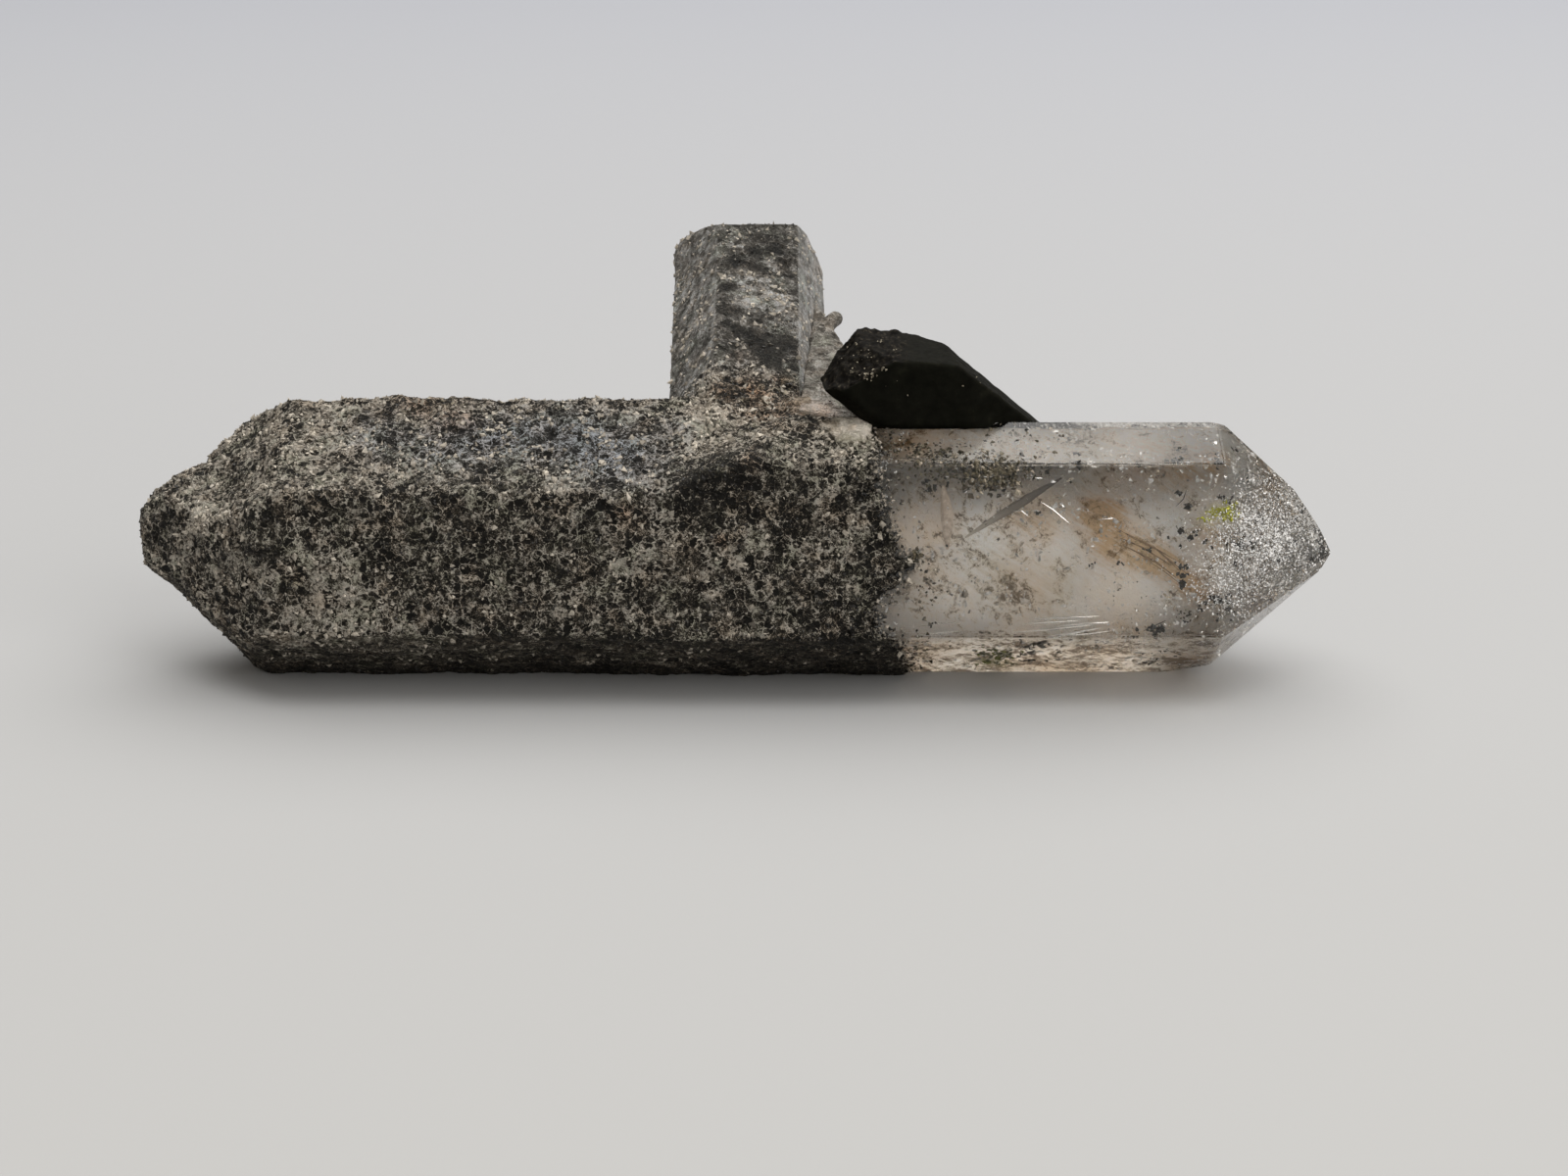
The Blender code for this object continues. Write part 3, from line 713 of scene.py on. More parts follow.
def crust_material():
    """Pale flakes and lace round dark pits, in ragged clusters. The calm attribute evens the surface out.
    The pits' dark centres are painted shade; the bright flake rims and thin threads are painted highlights.
    """
    m = Nodes("crust")
    where = m.position()
    flake, edge = m.cells(m.warped(where, 2.0, 0.36), 1.7)
    small = m.cells(m.warped(where, 3.6, 0.18), 3.3)[0]
    patch = m.noise(where, 0.75, detail=5.0, roughness=0.55, distortion=1.5)
    medium = m.noise(where, 1.7, detail=4.0, roughness=0.62, distortion=1.2)
    fine = m.noise(where, 6.0, detail=3.0, roughness=0.65)
    lace = m.ridges(where, 1.5, 2.5, 0.05)
    # Thin bright threads: painted highlights on curled edges.
    highlight_threads = m.ridges(where, 3.4, 1.6, 0.06)
    # Dark pit centres: painted shade in the hollows.
    pit = m.math("MULTIPLY", m.ramp(flake, (0.34, 1), (0.4, 0)), m.ramp(edge, (0.06, 0), (0.2, 1)))
    pit = m.math("MULTIPLY", pit, m.ramp(patch, (0.42, 1), (0.56, 0.25)))
    # Bright flake rims: painted highlights.
    rim = m.math("MULTIPLY", m.ramp(flake, (0.6, 1), (0.72, 0)), m.ramp(edge, (0.02, 1), (0.09, 0)))
    grain = m.weighed(
        m.math("MULTIPLY", m.attribute("cell"), 0.13),
        (flake, 0.5, 0.23), (small, 0.5, 0.3), (medium, 0.5, 0.66), (fine, 0.5, 0.45), (patch, 0.5, 0.65),
        (lace, 0.3, 0.26), (highlight_threads, 0.3, 0.2), (rim, 0.12, 0.32), (pit, 0.06, -0.2),
    )
    contrast = m.math("MULTIPLY_ADD", m.attribute("calm"), -1.12, 1.34)
    mask = m.math("MULTIPLY_ADD", grain, contrast, m.attribute("zone"))
    tint = m.ramp(m.noise(where, 0.55), (0.35, (1.04, 0.97, 0.9)), (0.5, (1, 1, 1)), (0.65, (0.96, 1, 0.93)))
    colour = m.tinted(m.ramp(mask, *CRUST_TONES), tint)
    brown = m.tinted(colour, (1.3, 0.88, 0.62))
    colour = m.mix(m.math("MULTIPLY", m.attribute("brown"), medium), colour, brown)
    # bluish is a cool tint, and on the main crystal's upper face a painted sheen.
    colour = m.mix(m.attribute("bluish"), colour, m.tinted(colour, (0.86, 0.98, 1.22)))
    m.set(Base_Color=colour, Roughness=m.ramp(fine, (0.35, 0.8), (0.75, 0.5)), Specular_IOR_Level=0.22)
    m.bump(mask, 1.0, 0.9)
    return m.material


def grain_material(name, low, high):
    """Grains between two colours, each by its shade."""
    m = Nodes(name)
    tone = m.noise(m.position(), 4.0, detail=3.0, roughness=0.7)
    colour = m.tinted(m.mix(m.attribute("shade"), low, high), m.ramp(tone, (0.35, 0.6), (0.65, 1.15)))
    m.set(Base_Color=colour, Roughness=m.ramp(tone, (0.3, 0.35), (0.7, 0.7)), Specular_IOR_Level=0.45)
    return m.material


def speck_material(name, low, high, roughness, metallic=0.0):
    """Specks mottled with two colours."""
    m = Nodes(name)
    tone = m.noise(m.position(), 3.0, detail=2.0)
    colour = m.mix(m.ramp(tone, (0.4, 0), (0.6, 1)), low, high)
    m.set(Base_Color=colour, Roughness=roughness, Metallic=metallic)
    return m.material


def glass_material():
    m = Nodes("clear_quartz")
    etch = m.noise(m.position(), 1.6, detail=6.0, roughness=0.66, distortion=0.4)
    m.set(Base_Color=(0.99, 0.985, 0.975), Roughness=m.ramp(etch, (0.4, 0.01), (0.7, 0.05)))
    m.set(Transmission_Weight=1.0, IOR=QUARTZ_IOR)
    m.bump(etch, 0.2, 0.1)
    absorb = m.new("VolumeAbsorption", Color=(0.74, 0.69, 0.62), Density=6.0)
    m.put(absorb.outputs[0], m.tree.nodes["Material Output"].inputs["Volume"])
    return m.material


def heart_material():
    """Veils, flakes and fine cracks in warm greys, with brown, olive and yellow stains."""
    m = Nodes("milky_heart")
    where = m.position()
    cloud = m.noise(where, 0.32, detail=8.0, roughness=0.62, distortion=1.0)
    wisps = m.noise(m.warped(where, 0.8, 0.9), 1.2, detail=7.0, roughness=0.68, distortion=0.9)
    flake = m.cells(m.warped(where, 1.5, 0.6), 0.8)[0]
    chips = m.cells(m.warped(where, 3.0, 0.25), 2.1)[0]
    fibre = m.noise(m.along(34, (2.6, 0.45, 0.3)), 1.0, detail=5.0, roughness=0.65)
    feather = m.noise(m.along(62, (1.5, 0.5, 0.35)), 1.0, detail=6.0, roughness=0.7, distortion=0.6)
    veins = m.ridges(m.warped(where, 1.2, 0.5), 1.1, 1.5, 0.022)
    cracks = m.ridges(where, 0.8, 2.5, 0.016)
    mask = m.weighed(
        0.675,
        (cloud, 0.5, 1.9), (wisps, 0.5, 1.9), (flake, 0.5, 0.2), (chips, 0.5, 0.16), (fibre, 0.5, 0.44),
        (feather, 0.5, 0.4), (veins, 0.1, 0.2), (cracks, 0.1, -0.24),
        # The pale and grey attributes also hold painted light on the lower front and painted shade below.
        (m.attribute("pale"), 0.0, 0.2), (m.attribute("grey"), 0.0, -0.24),
    )
    warmth = m.noise(where, 0.22, detail=4.0)
    tint = m.ramp(warmth, (0.38, (1, 0.93, 0.84)), (0.5, (1, 1, 1)), (0.64, (0.95, 0.99, 1)))
    colour = m.tinted(m.ramp(mask, *HEART_TONES), tint)
    stain = m.math("MULTIPLY_ADD", fibre, 1.0, m.math("MULTIPLY", wisps, 0.4))
    stain = m.ramp(stain, (0.55, 1.3), (0.86, 0.45))
    for name, dark, light in STAINS:
        tone = m.mix(m.ramp(mask, (0.25, 0), (0.65, 1)), dark, light)
        colour = m.mix(m.math("MULTIPLY", m.attribute(name), stain, clamp=True), colour, tone)
    m.set(Base_Color=colour, Roughness=1.0, IOR=1.15, Transmission_Weight=0.95)
    m.bump(mask, 0.7, 0.5)
    return m.material


def blade_material():
    """A dark needle that fades into the quartz at its left end."""
    m = Nodes("dark_blade")
    where = m.position()
    fade = m.math("MULTIPLY_ADD", m.noise(where, 1.6), 1.6, m.split(where)[0])
    start, length = 16.0, 5.0
    fade = m.math("MULTIPLY_ADD", fade, 1 / length, -start / length, clamp=True)
    colour = m.ramp(fade, (0, (0.55, 0.5, 0.43)), (0.5, (0.22, 0.19, 0.155)), (1, (0.075, 0.062, 0.05)))
    m.set(Base_Color=colour, Roughness=0.5)
    return m.material


def dark_material():
    """Near black, dull brown where the end is broken and olive where an edge is worn."""
    m = Nodes("dark_mineral")
    where = m.position()
    mottle = m.noise(where, 0.9, detail=6.0, roughness=0.65)
    fine = m.noise(where, 3.5, detail=4.0, roughness=0.7)
    colour = m.mix(m.attribute("broken"), m.ramp(mottle, *DARK_TONES), m.ramp(fine, *BROKEN_TONES))
    edge = m.math("MULTIPLY", m.attribute("worn"), m.ramp(fine, (0.4, 0), (0.65, 0.8)))
    colour = m.mix(edge, colour, (0.045, 0.043, 0.024))
    m.set(Base_Color=colour, Roughness=m.ramp(fine, (0.3, 0.5), (0.7, 0.7)), Specular_IOR_Level=0.03)
    m.bump(m.math("MULTIPLY_ADD", fine, 0.4, mottle), 0.35, 0.15)
    return m.material



def add_grains(name, places, sizes, shades, rng, spread=0.16, flat=1.0):
    """One mesh of many angular grains: an octahedron for each, its corners shifted, stretched and turned."""
    corners = np.array(((1, 0, 0), (-1, 0, 0), (0, 1, 0), (0, -1, 0), (0, 0, 1), (0, 0, -1)), dtype=float)
    faces = ((0, 2, 4), (2, 1, 4), (1, 3, 4), (3, 0, 4), (2, 0, 5), (1, 2, 5), (3, 1, 5), (0, 3, 5))
    count = len(places)
    shape = corners + rng.normal(0, spread, (count, 6, 3))
    shape *= rng.uniform(0.55, 1.25, (count, 1, 3)) * np.reshape(sizes, (-1, 1, 1)) * (1, 1, flat)
    q = rng.normal(0, 1, (count, 4))
    w, x, y, z = (q / np.linalg.norm(q, axis=1, keepdims=True)).T
    turn = np.array((
        (1 - 2 * (y * y + z * z), 2 * (x * y - z * w), 2 * (x * z + y * w)),
        (2 * (x * y + z * w), 1 - 2 * (x * x + z * z), 2 * (y * z - x * w)),
        (2 * (x * z - y * w), 2 * (y * z + x * w), 1 - 2 * (x * x + y * y)),
    ))
    points = np.einsum("jkn,nik->nij", turn, shape) + np.reshape(places, (-1, 1, 3))
    indices = np.array(faces)[None] + 6 * np.arange(count)[:, None, None]
    mesh = bpy.data.meshes.new(name)
    mesh.from_pydata((points.reshape(-1, 3) * MM).tolist(), [], indices.reshape(-1, 3).tolist())
    mesh.update()
    piece = add_object(name, mesh)
    set_attribute(piece, "shade", np.repeat(shades, 6))
    return piece


def likely_pale(zone):
    return np.clip((zone - 0.36) / 0.2, 0.02, 1)


def likely_dark(zone):
    return np.clip((0.55 - zone) / 0.25, 0.03, 1)


def grains_on(name, pieces, count, likely, low, high, seed):
    """Grains partly sunk in the crust. likely turns a place's zone into how likely a grain sits there."""
    def of_all(values_of, *names):
        return np.concatenate([values_of(piece, *names) for piece in pieces])

    rng = np.random.default_rng(seed)
    co = of_all(coordinates)
    normals = of_all(vertex_normals)
    zone = of_all(attribute_values, "zone")
    calm = of_all(attribute_values, "calm")
    chance = likely(zone) * (co[:, 2] > 0.35) * (1 - 0.9 * calm)
    picked = rng.choice(len(co), count, replace=False, p=chance / chance.sum())
    sizes = rng.uniform(low, high, count) * rng.uniform(0.6, 1.0, count)
    places = co[picked] - normals[picked] * np.reshape(0.25 * sizes, (-1, 1))
    shades = np.clip(0.5 * rng.random(count) + 1.3 * (zone[picked] - 0.3), 0, 1)
    return add_grains(name, places, sizes, shades, rng, spread=0.18, flat=0.7)


def make_main_crust():
    """The crusted crystal, its slimmer left point, and the crust round the start of the clear quartz."""
    crusted = habit(CRUSTED_PRISM, MAIN_ROLL, CRUSTED_TIP, left_end=-CRUSTED_START, right_end=CRUSTED_END)
    core = habit(CORE_PRISM, MAIN_ROLL, CORE_TIP, left_end=-CORE_START, right_end=0)
    sleeve = habit(CLEAR_PRISM, MAIN_ROLL, left_end=-SLEEVE_START, grown=SLEEVE_GROWTH)
    sleeve += [SLEEVE_SLOPE, SLEEVE_END]
    return add_piece("main_crust", joined(*(crystal(faces, AXIS) for faces in (crusted, core, sleeve))))


def make_second():
    place = pointing(SECOND_ROOT, math.radians(90), SECOND_RISE)
    faces = habit(SECOND_PRISM, SECOND_ROLL, right_tip=SECOND_TIP, left_end=-SECOND_DEPTH)
    return add_piece("second_crystal", crystal(faces + list(SECOND_END_FACES), place))


def make_clear():
    bm = crystal(clear_faces(CLEAR_START) + [(Vector((0, 0, -1)), AXIS_HEIGHT)], AXIS)
    bmesh.ops.bevel(bm, geom=bm.edges[:], offset=0.12, segments=2, affect="EDGES")
    return add_piece("clear_end", bm)


def make_wedge():
    bm = bmesh.new()
    for corner in WEDGE_CORNERS:
        bm.verts.new(corner)
    bmesh.ops.convex_hull(bm, input=bm.verts)
    bmesh.ops.recalc_face_normals(bm, faces=bm.faces)
    knob = bmesh.new()
    place = Matrix.Translation(KNOB_PLACE)
    bmesh.ops.create_icosphere(knob, subdivisions=3, radius=KNOB_RADIUS, matrix=place)
    piece = add_piece("wedge", joined(bm, knob))
    co = softened(piece, WEDGE_MESH, 6)[1]
    height = 0.12 * noise_at(co, 1.2, (1, 2, 3)) + 0.06 * noise_at(co, 0.5, (4, 2, 3))
    set_coordinates(piece, co + vertex_normals(piece) * height[:, None])
    return piece


def make_dark():
    """The dark crystal. Its worn edges and its broken end are marked for the material."""
    place = pointing(DARK_ROOT, DARK_TURN, -DARK_FALL)
    to_crystal = place.inverted()
    planes = [(prism_normal(0, math.radians(turn)), distance) for turn, distance in DARK_LONG_FACES]
    for direction, point in DARK_END_FACES:
        normal = (to_crystal.to_3x3() @ direction).normalized()
        planes.append((normal, normal.dot(to_crystal @ point)))
    piece = add_piece("dark_mineral", crystal(planes, place))
    sharp, co = softened(piece, DARK_MESH, 6)
    normals = vertex_normals(piece)
    set_attribute(piece, "worn", np.clip(np.linalg.norm(co - sharp, axis=1) / 0.1 - 0.3, 0, 1))
    broken = np.clip((normals @ np.array((-0.45, -0.3, 0.85)) - 0.45) * 4, 0, 1)
    broken *= rise(-co[:, 0], -11.6, 1.2)
    height = broken * (0.3 * noise_at(co, 1.3, (3, 1, 4)) + 0.2 * noise_at(co, 0.5, (1, 5, 9)) - 0.08)
    height += 0.05 * noise_at(co, 0.9, (2, 6, 5)) + 0.03 * noise_at(co, 0.35, (3, 5, 8))
    set_attribute(piece, "broken", broken)
    set_coordinates(piece, co + normals * height[:, None])
    return piece


def make_heart():
    """The cloudy inside of the clear quartz. It is darker below with painted shade and paler on the lower
    front with painted light, and noise takes the marks' place behind.
    """
    piece = add_piece("milky_heart", crystal(clear_faces(HEART_START, -HEART_GAP), AXIS))
    co = softened(piece, HEART_MESH, 4)[1]
    normals = vertex_normals(piece)
    height = 0.2 * noise_at(co, 2.6, (5, 5, 5)) + 0.12 * noise_at(co, 1.1, (9, 2, 5)) - 0.1
    co = co + normals * height[:, None]
    co[:, 2] = np.maximum(co[:, 2], 0.25)
    set_coordinates(piece, co)
    # Painted shade on the lower faces, greyer and a little browner, and painted light on the lower front.
    low = 1.1 * rise(-normals[:, 2], 0.35, 0.3) * rise(-co[:, 2], -4.9, 0.9)
    behind = 2.2 * np.clip(1.5 * normals[:, 1], 0, 1)
    added = {
        "grey": low + behind * np.clip(noise_at(co, 2.2, (1, 7, 3)), 0, 0.4),
        "brown": 0.25 * low + behind * np.clip(noise_at(co, 3.0, (7, 7, 1)), 0, 0.4),
        "pale": rise(-normals[:, 1], 0.7, 0.2) * rise(-co[:, 2], -7, 1.5),
    }
    tree = tree_of(piece)
    for name, marks in HEART_MARKS.items():
        set_attribute(piece, name, np.clip(spots(co, marks, [tree]) + added.get(name, 0), 0, 1.6))
    return piece


def shape_boundary(co):
    """Moves the crust's right end out or in to the ragged line where the clear quartz begins."""
    flat = SLEEVE_END[1] - SLEEVE_END[0].z * (co[:, 2] - AXIS_HEIGHT)
    target = np.interp(seen_height(co), *zip(*BOUNDARY))
    reach = rise(co[:, 0], 7, 3)
    ragged = 0.6 * noise_at(co, 1.1, (8, 1, 2)) + 0.9 * noise_at(co, 0.45, (3, 1, 9))
    co[:, 0] += reach**2 * (3 - 2 * reach) * (target - flat + ragged)
    return co


def raise_crust(piece, co, normals, relief, calm, seed):
    """The CAD model's lumps on a fine mesh, and on them a mosaic of pits with raised rims and of grains."""
    height = relief * sum(size * noise_at(co, spacing, where) for spacing, size, where in CRUST_RELIEF)
    rng = np.random.default_rng(seed)
    area = sum(p.area for p in piece.data.polygons) / MM**2
    count = int(area / CELL**2)
    picked = rng.choice(len(co), count, replace=False)
    centres = co[picked] + rng.normal(0, 0.08, (count, 3))
    is_pit = rng.random(count) < 0.5
    size = rng.uniform(0.4, 1.0, count)
    tree = kdtree.KDTree(count)
    for i, p in enumerate(centres):
        tree.insert(p, i)
    tree.balance()
    found = [tree.find_n(p, 2) for p in co]
    nearest = np.array([pair[0][1] for pair in found])
    from_rim = np.array([pair[1][2] - pair[0][2] for pair in found])
    rim = 1 - np.clip(from_rim / (0.7 * CELL), 0, 1)
    pit = is_pit[nearest]
    # The cell value darkens each pit's centre: painted shade in the hollow.
    cell = np.where(pit, 2 * rim - 1, 1 - 1.2 * rim**3)
    bump = np.where(pit, -PIT_DEPTH * (1 - rim), GRAIN_HEIGHT * (1 - rim**2)) * size[nearest]
    set_attribute(piece, "cell", cell * size[nearest])
    co = co + normals * ((height + bump) * (1 - 0.8 * calm))[:, None]
    co[:, 2] = np.maximum(co[:, 2], 0.0)
    set_coordinates(piece, co)


def clusters_at(co):
    shift = Vector((9, 4, 7))
    large = np.array([noise.fractal(Vector(p) / LARGE_CLUSTERS, 1.0, 2.1, 3) for p in co])
    small = np.array([noise.fractal(Vector(p) / SMALL_CLUSTERS + shift, 0.7, 2.1, 4) for p in co])
    return 0.1 * large + 0.18 * small


def paint_crust(piece, shade, calm, cool, trees):
    """Gives a crust its attributes: zone is how pale it is, painted light and shade included, calm how even,
    and brown and bluish its tints; on the main crystal's upper face bluish is a painted sheen.
    """
    co = coordinates(piece)
    zone = CRUST_PALENESS + shade + clusters_at(co) * (1 - 0.6 * calm)
    zone += 0.75 * spots(co, PALE_SPOTS, trees) - 0.55 * spots(co, DARK_SPOTS, trees)
    set_attribute(piece, "zone", zone)
    set_attribute(piece, "calm", calm)
    set_attribute(piece, "brown", spots(co, BROWN_SPOTS + SECOND_BROWN, trees))
    set_attribute(piece, "bluish", np.clip(spots(co, PAINTED_SHEEN_SPOTS, trees) + cool, 0, 1))


def facing_down(normals):
    return rise(-normals[:, 2], 0.25, 0.35)


def main_tone_and_painted_shading(co, normals):
    """The left end is paler and the upper faces are paler with painted light. The lower faces are darker,
    and the bottom, next to the floor, is darkest with painted shade.
    """
    up = rise(normals[:, 2], 0, 0.8)
    bottom = rise(-co[:, 2], -1.4, 1.2)
    left = rise(-co[:, 0], 22, 6)
    return 0.06 * up - 0.015 * facing_down(normals) - 0.14 * bottom + 0.025 * left


def second_faces(normals):
    """How much each point lies on the second crystal's right flank, left flank and top band."""
    right = rise(normals[:, 0], 0.4, 0.3)
    left = rise(-normals[:, 0], 0.3, 0.3)
    return right, left, np.clip(1 - right - left, 0, 1)


def second_calm(co, normals):
    right, left, top = second_faces(normals)
    return right + (0.9 * left + 0.75 * top) * rise(co[:, 1], 2, 2.5)


def streaks(co, across, along, seed):
    """Noise in slanting streaks: how fast it changes with x and with z, and how much y shifts each."""
    x, y, z = co.T
    slanted = (across[0] * x - across[1] * y, along[0] * z + along[1] * y, np.full(len(co), seed))
    return noise_at(np.stack(slanted, axis=1), 1.0, (0, 0, 0))


def second_tone_and_painted_light(co, normals, trees):
    """Pale flanks with streaks on the left one, and a darker top band with spots.
    How much paler the right flank is than the left is painted light.
    """
    right, left, top = second_faces(normals)
    streak = streaks(co, (1.9, 0.55), (0.9, 0.35), 3.0)
    fine = streaks(co, (4.5, 1.2), (1.6, 0.7), 8.0)
    shade = (0.21 + 0.05 * streak) * right + (0.16 + 0.11 * streak + 0.07 * fine) * left + 0.055 * top
    return shade + top * (spots(co, SECOND_PALE, trees) - spots(co, SECOND_DARK, trees))


def back_specks(heart, clusters, seed):
    """Small clusters of dark grains behind and above, where the photograph shows nothing."""
    rng = np.random.default_rng(seed)
    co = coordinates(heart)
    normals = vertex_normals(heart)
    picked = rng.choice(np.flatnonzero((normals[:, 1] > 0.3) & (co[:, 2] > 1)), clusters)
    picked = np.repeat(picked, rng.integers(2, 14, len(picked)))
    count = len(picked)
    places = co[picked] + normals[picked] * rng.uniform(0.0, 0.35, (count, 1))
    places += rng.normal(0, 0.25, places.shape) * (1 - np.abs(normals[picked]))
    return add_grains("back_specks", places, rng.uniform(0.06, 0.18, count), rng.random(count), rng)


def inclusions(name, clusters, tree, nearest, farthest, seed):
    """Clusters of grains between nearest and farthest behind a surface."""
    rng = np.random.default_rng(seed)
    places = []
    sizes = []
    for x, u, half_width, half_height, count, size in clusters:
        for _ in range(count):
            dx, du = rng.normal(0, 0.6, 2)
            place = inside(x + dx * half_width, u + du * half_height, rng.uniform(nearest, farthest), tree)
            if place is not None and place.z > GRAIN_FLOOR:
                places.append(place)
                sizes.append(GRAIN_GROWTH * size * rng.uniform(0.6, 1.25))
    return add_grains(name, np.array(places), np.array(sizes), rng.random(len(places)), rng, spread=0.25)


def make_flakes(name, heart, count, smallest, spread, reach, dark, seed):
    """Thin flakes from the cloudy inside to reach outside it, most at the tip as painted light that brightens
    it.
    dark is their dark share.
    """
    rng = np.random.default_rng(seed)
    co = coordinates(heart)
    chance = np.clip(0.3 + noise_at(co, 1.7, (4, 4, 4)), 0.02, 1) * (1 + 4 * rise(co[:, 0], 31, 4))
    picked = rng.choice(len(co), count, replace=False, p=chance / chance.sum())
    places = co[picked] + vertex_normals(heart)[picked] * rng.uniform(0.0, reach, (count, 1))
    sizes = smallest + spread * rng.random(count) ** 2
    shades = np.where(rng.random(count) > dark, rng.uniform(0.8, 1.0, count), rng.uniform(0.0, 0.6, count))
    kept = places[:, 2] > GRAIN_FLOOR
    return add_grains(name, places[kept], sizes[kept], shades[kept], rng, spread=0.35, flat=0.2)


def edge_grains(crust_tip, tree, count, seed):
    """Grains scattered on the clear quartz just beyond the crust's ragged edge, all the way round."""
    rng = np.random.default_rng(seed)
    near = [p for p in crust_tip if p[2] > GRAIN_FLOOR and tree.find_nearest(Vector(p))[3] < 0.6]
    places = np.array(near)[rng.choice(len(near), count)]
    places[:, 0] += np.abs(rng.normal(0, 0.7, count)) - 0.1
    places = np.array([tree.find_nearest(Vector(p))[0] for p in places])
    places = places[places[:, 2] > GRAIN_FLOOR]
    sizes = rng.uniform(0.06, 0.2, len(places))
    return add_grains("edge_grains", places, sizes, rng.random(len(places)) ** 1.5, rng)


def needles(name, lines, tree, depth, flat):
    """Thin tapering rods inside the clear quartz, flat times as deep as they are wide."""
    side = Vector((1, 0, 0))
    up = Vector((0, math.sin(CAMERA_RISE), math.cos(CAMERA_RISE)))
    angles = [math.pi / 3 * j for j in range(6)]
    bm = bmesh.new()
    for radius, *points in lines:
        rings = []
        spans = len(points) - 1
        steps = 6 * spans
        for i in range(steps + 1):
            t = i / steps * spans
            k = min(int(t), spans - 1)
            (x0, u0), (x1, u1) = points[k], points[k + 1]
            centre = inside(x0 + (x1 - x0) * (t - k), u0 + (u1 - u0) * (t - k), depth, tree)
            if centre is None:
                continue
            along = (side * (x1 - x0) + up * (u1 - u0)).normalized()
            across = along.cross(side.cross(up)).normalized()
            forward = along.cross(across)
            reach = radius * (0.12 + 0.88 * math.sin(math.pi * (i + 0.5) / (steps + 1)))
            rings.append([
                bm.verts.new(centre + across * reach * math.cos(a) + forward * reach * flat * math.sin(a))
                for a in angles
            ])
        for first, second in zip(rings, rings[1:]):
            for j in range(6):
                bm.faces.new((first[j], first[(j + 1) % 6], second[(j + 1) % 6], second[j]))
        bm.faces.new(rings[0][::-1])
        bm.faces.new(rings[-1])
    bmesh.ops.recalc_face_normals(bm, faces=bm.faces)
    return add_piece(name, bm)


def make_stage():
    bm = bmesh.new()
    bmesh.ops.create_grid(bm, x_segments=1, y_segments=1, size=FLOOR_REACH)
    floor = add_piece("floor", bm)
    m = Nodes("floor")
    y = m.split(m.new("TexCoord").outputs["Object"])[1]
    far = m.math("MULTIPLY_ADD", y, 1 / FLOOR_BLEND, 0.2, clamp=True)
    m.set(Base_Color=m.ramp(far, (0, FLOOR_NEAR), (1, FLOOR_FAR)), Roughness=0.8, Specular_IOR_Level=0.2)
    floor.data.materials.append(m.material)
    floor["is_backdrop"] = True


def add_aimed(name, data, place, direction):
    """A lamp or camera that looks in a direction."""
    obj = add_object(name, data)
    obj.location = place
    obj.rotation_mode = "QUATERNION"
    obj.rotation_quaternion = direction.to_track_quat("-Z", "Y")
    return obj


def area_light(name, place, size, power, colour):
    light = bpy.data.lights.new(name, "AREA")
    light.shape = "DISK"
    light.size = size
    light.energy = power
    light.color = colour
    add_aimed(name, light, place, AIM - Vector(place))


def make_light():
    world = bpy.data.worlds.new("studio")
    world.use_nodes = True
    background = world.node_tree.nodes["Background"]
    background.inputs["Color"].default_value = (1.0, 0.93, 0.83, 1)
    background.inputs["Strength"].default_value = 0.32
    bpy.context.scene.world = world
    area_light("overhead", (0.12, 0.18, 0.8), size=1.5, power=13.0, colour=(1.0, 0.985, 0.96))
    area_light("front_fill", (0.5, -0.6, 0.45), size=0.7, power=3.5, colour=(1.0, 0.98, 0.95))


def make_camera():
    camera = bpy.data.cameras.new("camera")
    camera.sensor_width = SENSOR
    camera.lens = SENSOR * CAMERA_DISTANCE / VIEW_WIDTH
    camera.clip_start = 0.01
    camera.dof.use_dof = False
    place = AIM + CAMERA_BACK * CAMERA_DISTANCE
    bpy.context.scene.camera = add_aimed("camera", camera, place, -CAMERA_BACK)


def dress(piece, material, node=None):
    """Gives a piece its material, lets it ride on the part and hides the CAD part that it stands for."""
    piece.data.materials.clear()
    piece.data.materials.append(material)
    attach(piece, "root")
    if node:
        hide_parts(node)


bpy.context.scene.view_settings.view_transform = "Standard"
make_stage()
make_light()
make_camera()
main = make_main_crust()
second = make_second()
clear = make_clear()
wedge = make_wedge()
dark = make_dark()
heart = make_heart()

# The crusts. The left end of the main one and the far end of the second are worn.
main_co = round_edges(main, CRUST_MESH, *CRUST_EDGES, lambda co: rise(-co[:, 0], 26, 8))
main_co = shape_boundary(main_co)
second_co = round_edges(second, SECOND_MESH, *SECOND_EDGES, lambda co: rise(co[:, 1], 17, 4))
clear_tree, wedge_tree, dark_tree = [tree_of(piece) for piece in (clear, wedge, dark)]
set_coordinates(main, main_co)
main_normals = vertex_normals(main)
second_normals = vertex_normals(second)
fuller = spots(second_co, SECOND_FULLER, [tree_of(second)])
second_co = second_co + second_normals * fuller[:, None]
foot = spots(main_co, FOOT_SPOTS, [tree_of(main), clear_tree])
foot = np.clip(foot + 0.6 * facing_down(main_normals), 0, 1)
calm = second_calm(second_co, second_normals)
raise_crust(main, main_co, main_normals, relief=0.55, calm=0.5 * foot, seed=11)
raise_crust(second, second_co, second_normals, relief=0.22, calm=calm, seed=12)
trees = [tree_of(main), tree_of(second), clear_tree, wedge_tree, dark_tree]
main_co = coordinates(main)
paint_crust(main, main_tone_and_painted_shading(main_co, main_normals), foot, 0, trees)
paint_crust(second, second_tone_and_painted_light(coordinates(second), second_normals, trees), calm, 0.8 * calm, trees)
even = np.ones(len(wedge.data.vertices))
paint_crust(wedge, 0.17 * even, 0.9 * even, 0.4 * even, trees)
set_attribute(wedge, "cell", 0 * even)

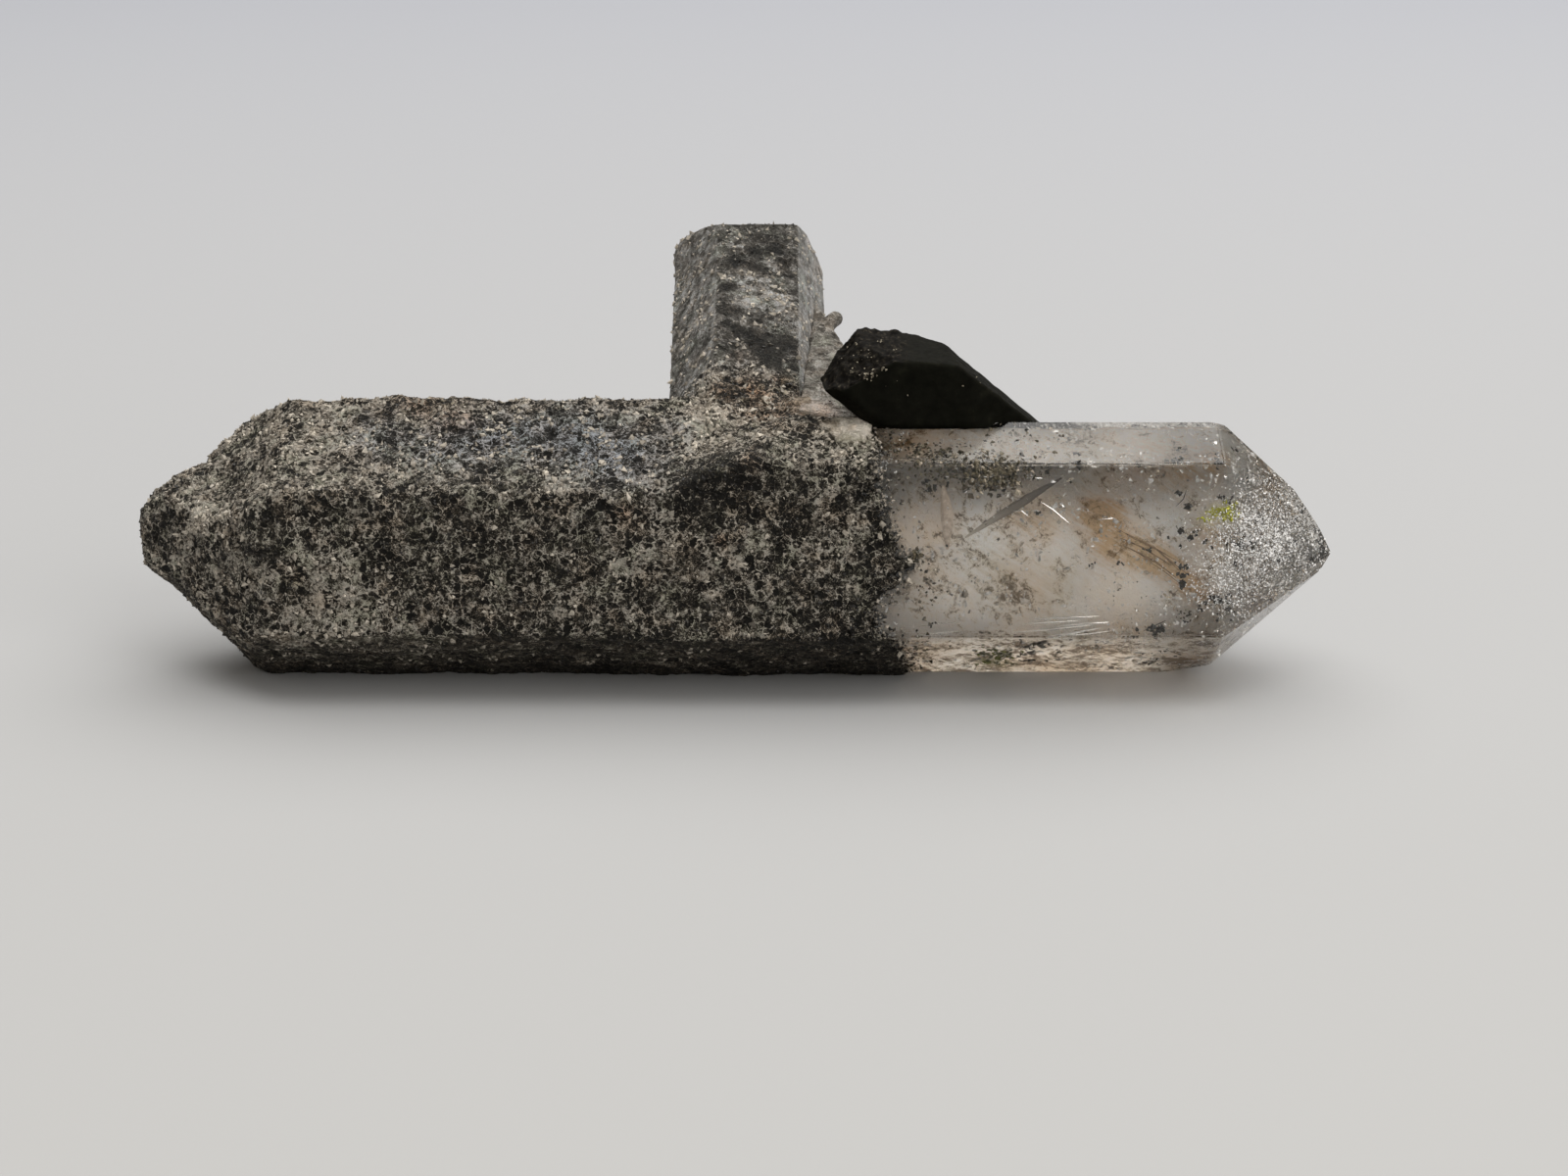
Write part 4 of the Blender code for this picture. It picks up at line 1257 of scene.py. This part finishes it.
looks = {name: grain_material(name, *colours) for name, *colours in GRAIN_LOOKS}
looks |= {name: speck_material(name, *values) for name, *values in SPECK_LOOKS}

# Grains on the crust: name, how likely by zone, how many, smallest and largest size, seed, slot.
for name, likely, count, low, high, seed, slot in (
    ("pale_grains", likely_pale, 10000, 0.12, 0.34, 21, "quartz"),
    ("dark_grains", likely_dark, 9000, 0.12, 0.22, 22, "dark_mineral"),
):
    dress(grains_on(name, (main, second), count, likely, low, high, seed), looks[name])
crust_tip = main_co[main_co[:, 0] > 8.3]
dress(edge_grains(crust_tip, clear_tree, count=1500, seed=23), looks["edge_grains"])

flakes = make_flakes("flakes", heart, count=9000, smallest=0.05, spread=0.14, reach=0.56, dark=0.12, seed=24)
chips = make_flakes("chips", heart, count=2200, smallest=0.12, spread=0.2, reach=0.14, dark=0.4, seed=26)
dress(flakes, looks["flakes"])
dress(chips, looks["chips"])
dress(back_specks(heart, clusters=70, seed=25), looks["dark_specks"])

# Clusters of grains: name, clusters, surface, nearest and farthest depth, seed, slot.
for name, clusters, tree, nearest, farthest, seed, slot in (
    ("ridge_specks", RIDGE_CLUSTERS, clear_tree, 0.0, 0.16, 31, "dark_mineral"),
    ("ridge_lace", RIDGE_LACE, clear_tree, -0.02, 0.1, 39, "crust"),
    ("dark_specks", DARK_CLUSTERS, clear_tree, 0.08, 0.32, 32, "dark_mineral"),
    ("bright_specks", BRIGHT_CLUSTERS, clear_tree, 0.1, 0.35, 33, "quartz"),
    ("yellow_specks", YELLOW_CLUSTERS, clear_tree, 0.15, 0.35, 34, "crust"),
    ("olive_specks", OLIVE_CLUSTERS, clear_tree, 0.1, 0.3, 35, "dark_mineral"),
    ("painted_tip_light", TIP_LIGHT_CLUSTERS, clear_tree, -0.03, 0.1, 36, "quartz"),
    ("dark_crystal_grains", DARK_CRYSTAL_CLUSTERS, dark_tree, 0.0, 0.04, 37, "crust"),
    ("foot_specks", FOOT_CLUSTERS, wedge_tree, 0.0, 0.04, 38, "crust"),
):
    dress(inclusions(name, clusters, tree, nearest, farthest, seed), looks[name])

# Needles and lines in the clear quartz: name, lines, depth, flatness, material, slot.
for name, lines, depth, flat, material, slot in (
    ("dark_blade", DARK_BLADE, 0.22, 0.35, blade_material(), "dark_mineral"),
    ("pale_blade", PALE_BLADE, 0.25, 0.35, looks["pale_blade"], "quartz"),
    ("dark_lines", DARK_LINES, 0.25, 0.35, looks["dark_specks"], "dark_mineral"),
    ("bright_lines", BRIGHT_LINES, 0.05, 1.0, looks["bright_specks"], "quartz"),
    ("brown_hairs", BROWN_HAIRS, 0.2, 0.35, looks["brown_hairs"], "crust"),
):
    dress(needles(name, lines, clear_tree, depth, flat), material)

crust = crust_material()
for piece in (main, second, wedge):
    dress(piece, crust, "quartz")
dress(clear, glass_material(), "quartz")
dress(heart, heart_material())
dress(dark, dark_material(), "dark_crystal")

low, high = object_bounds()
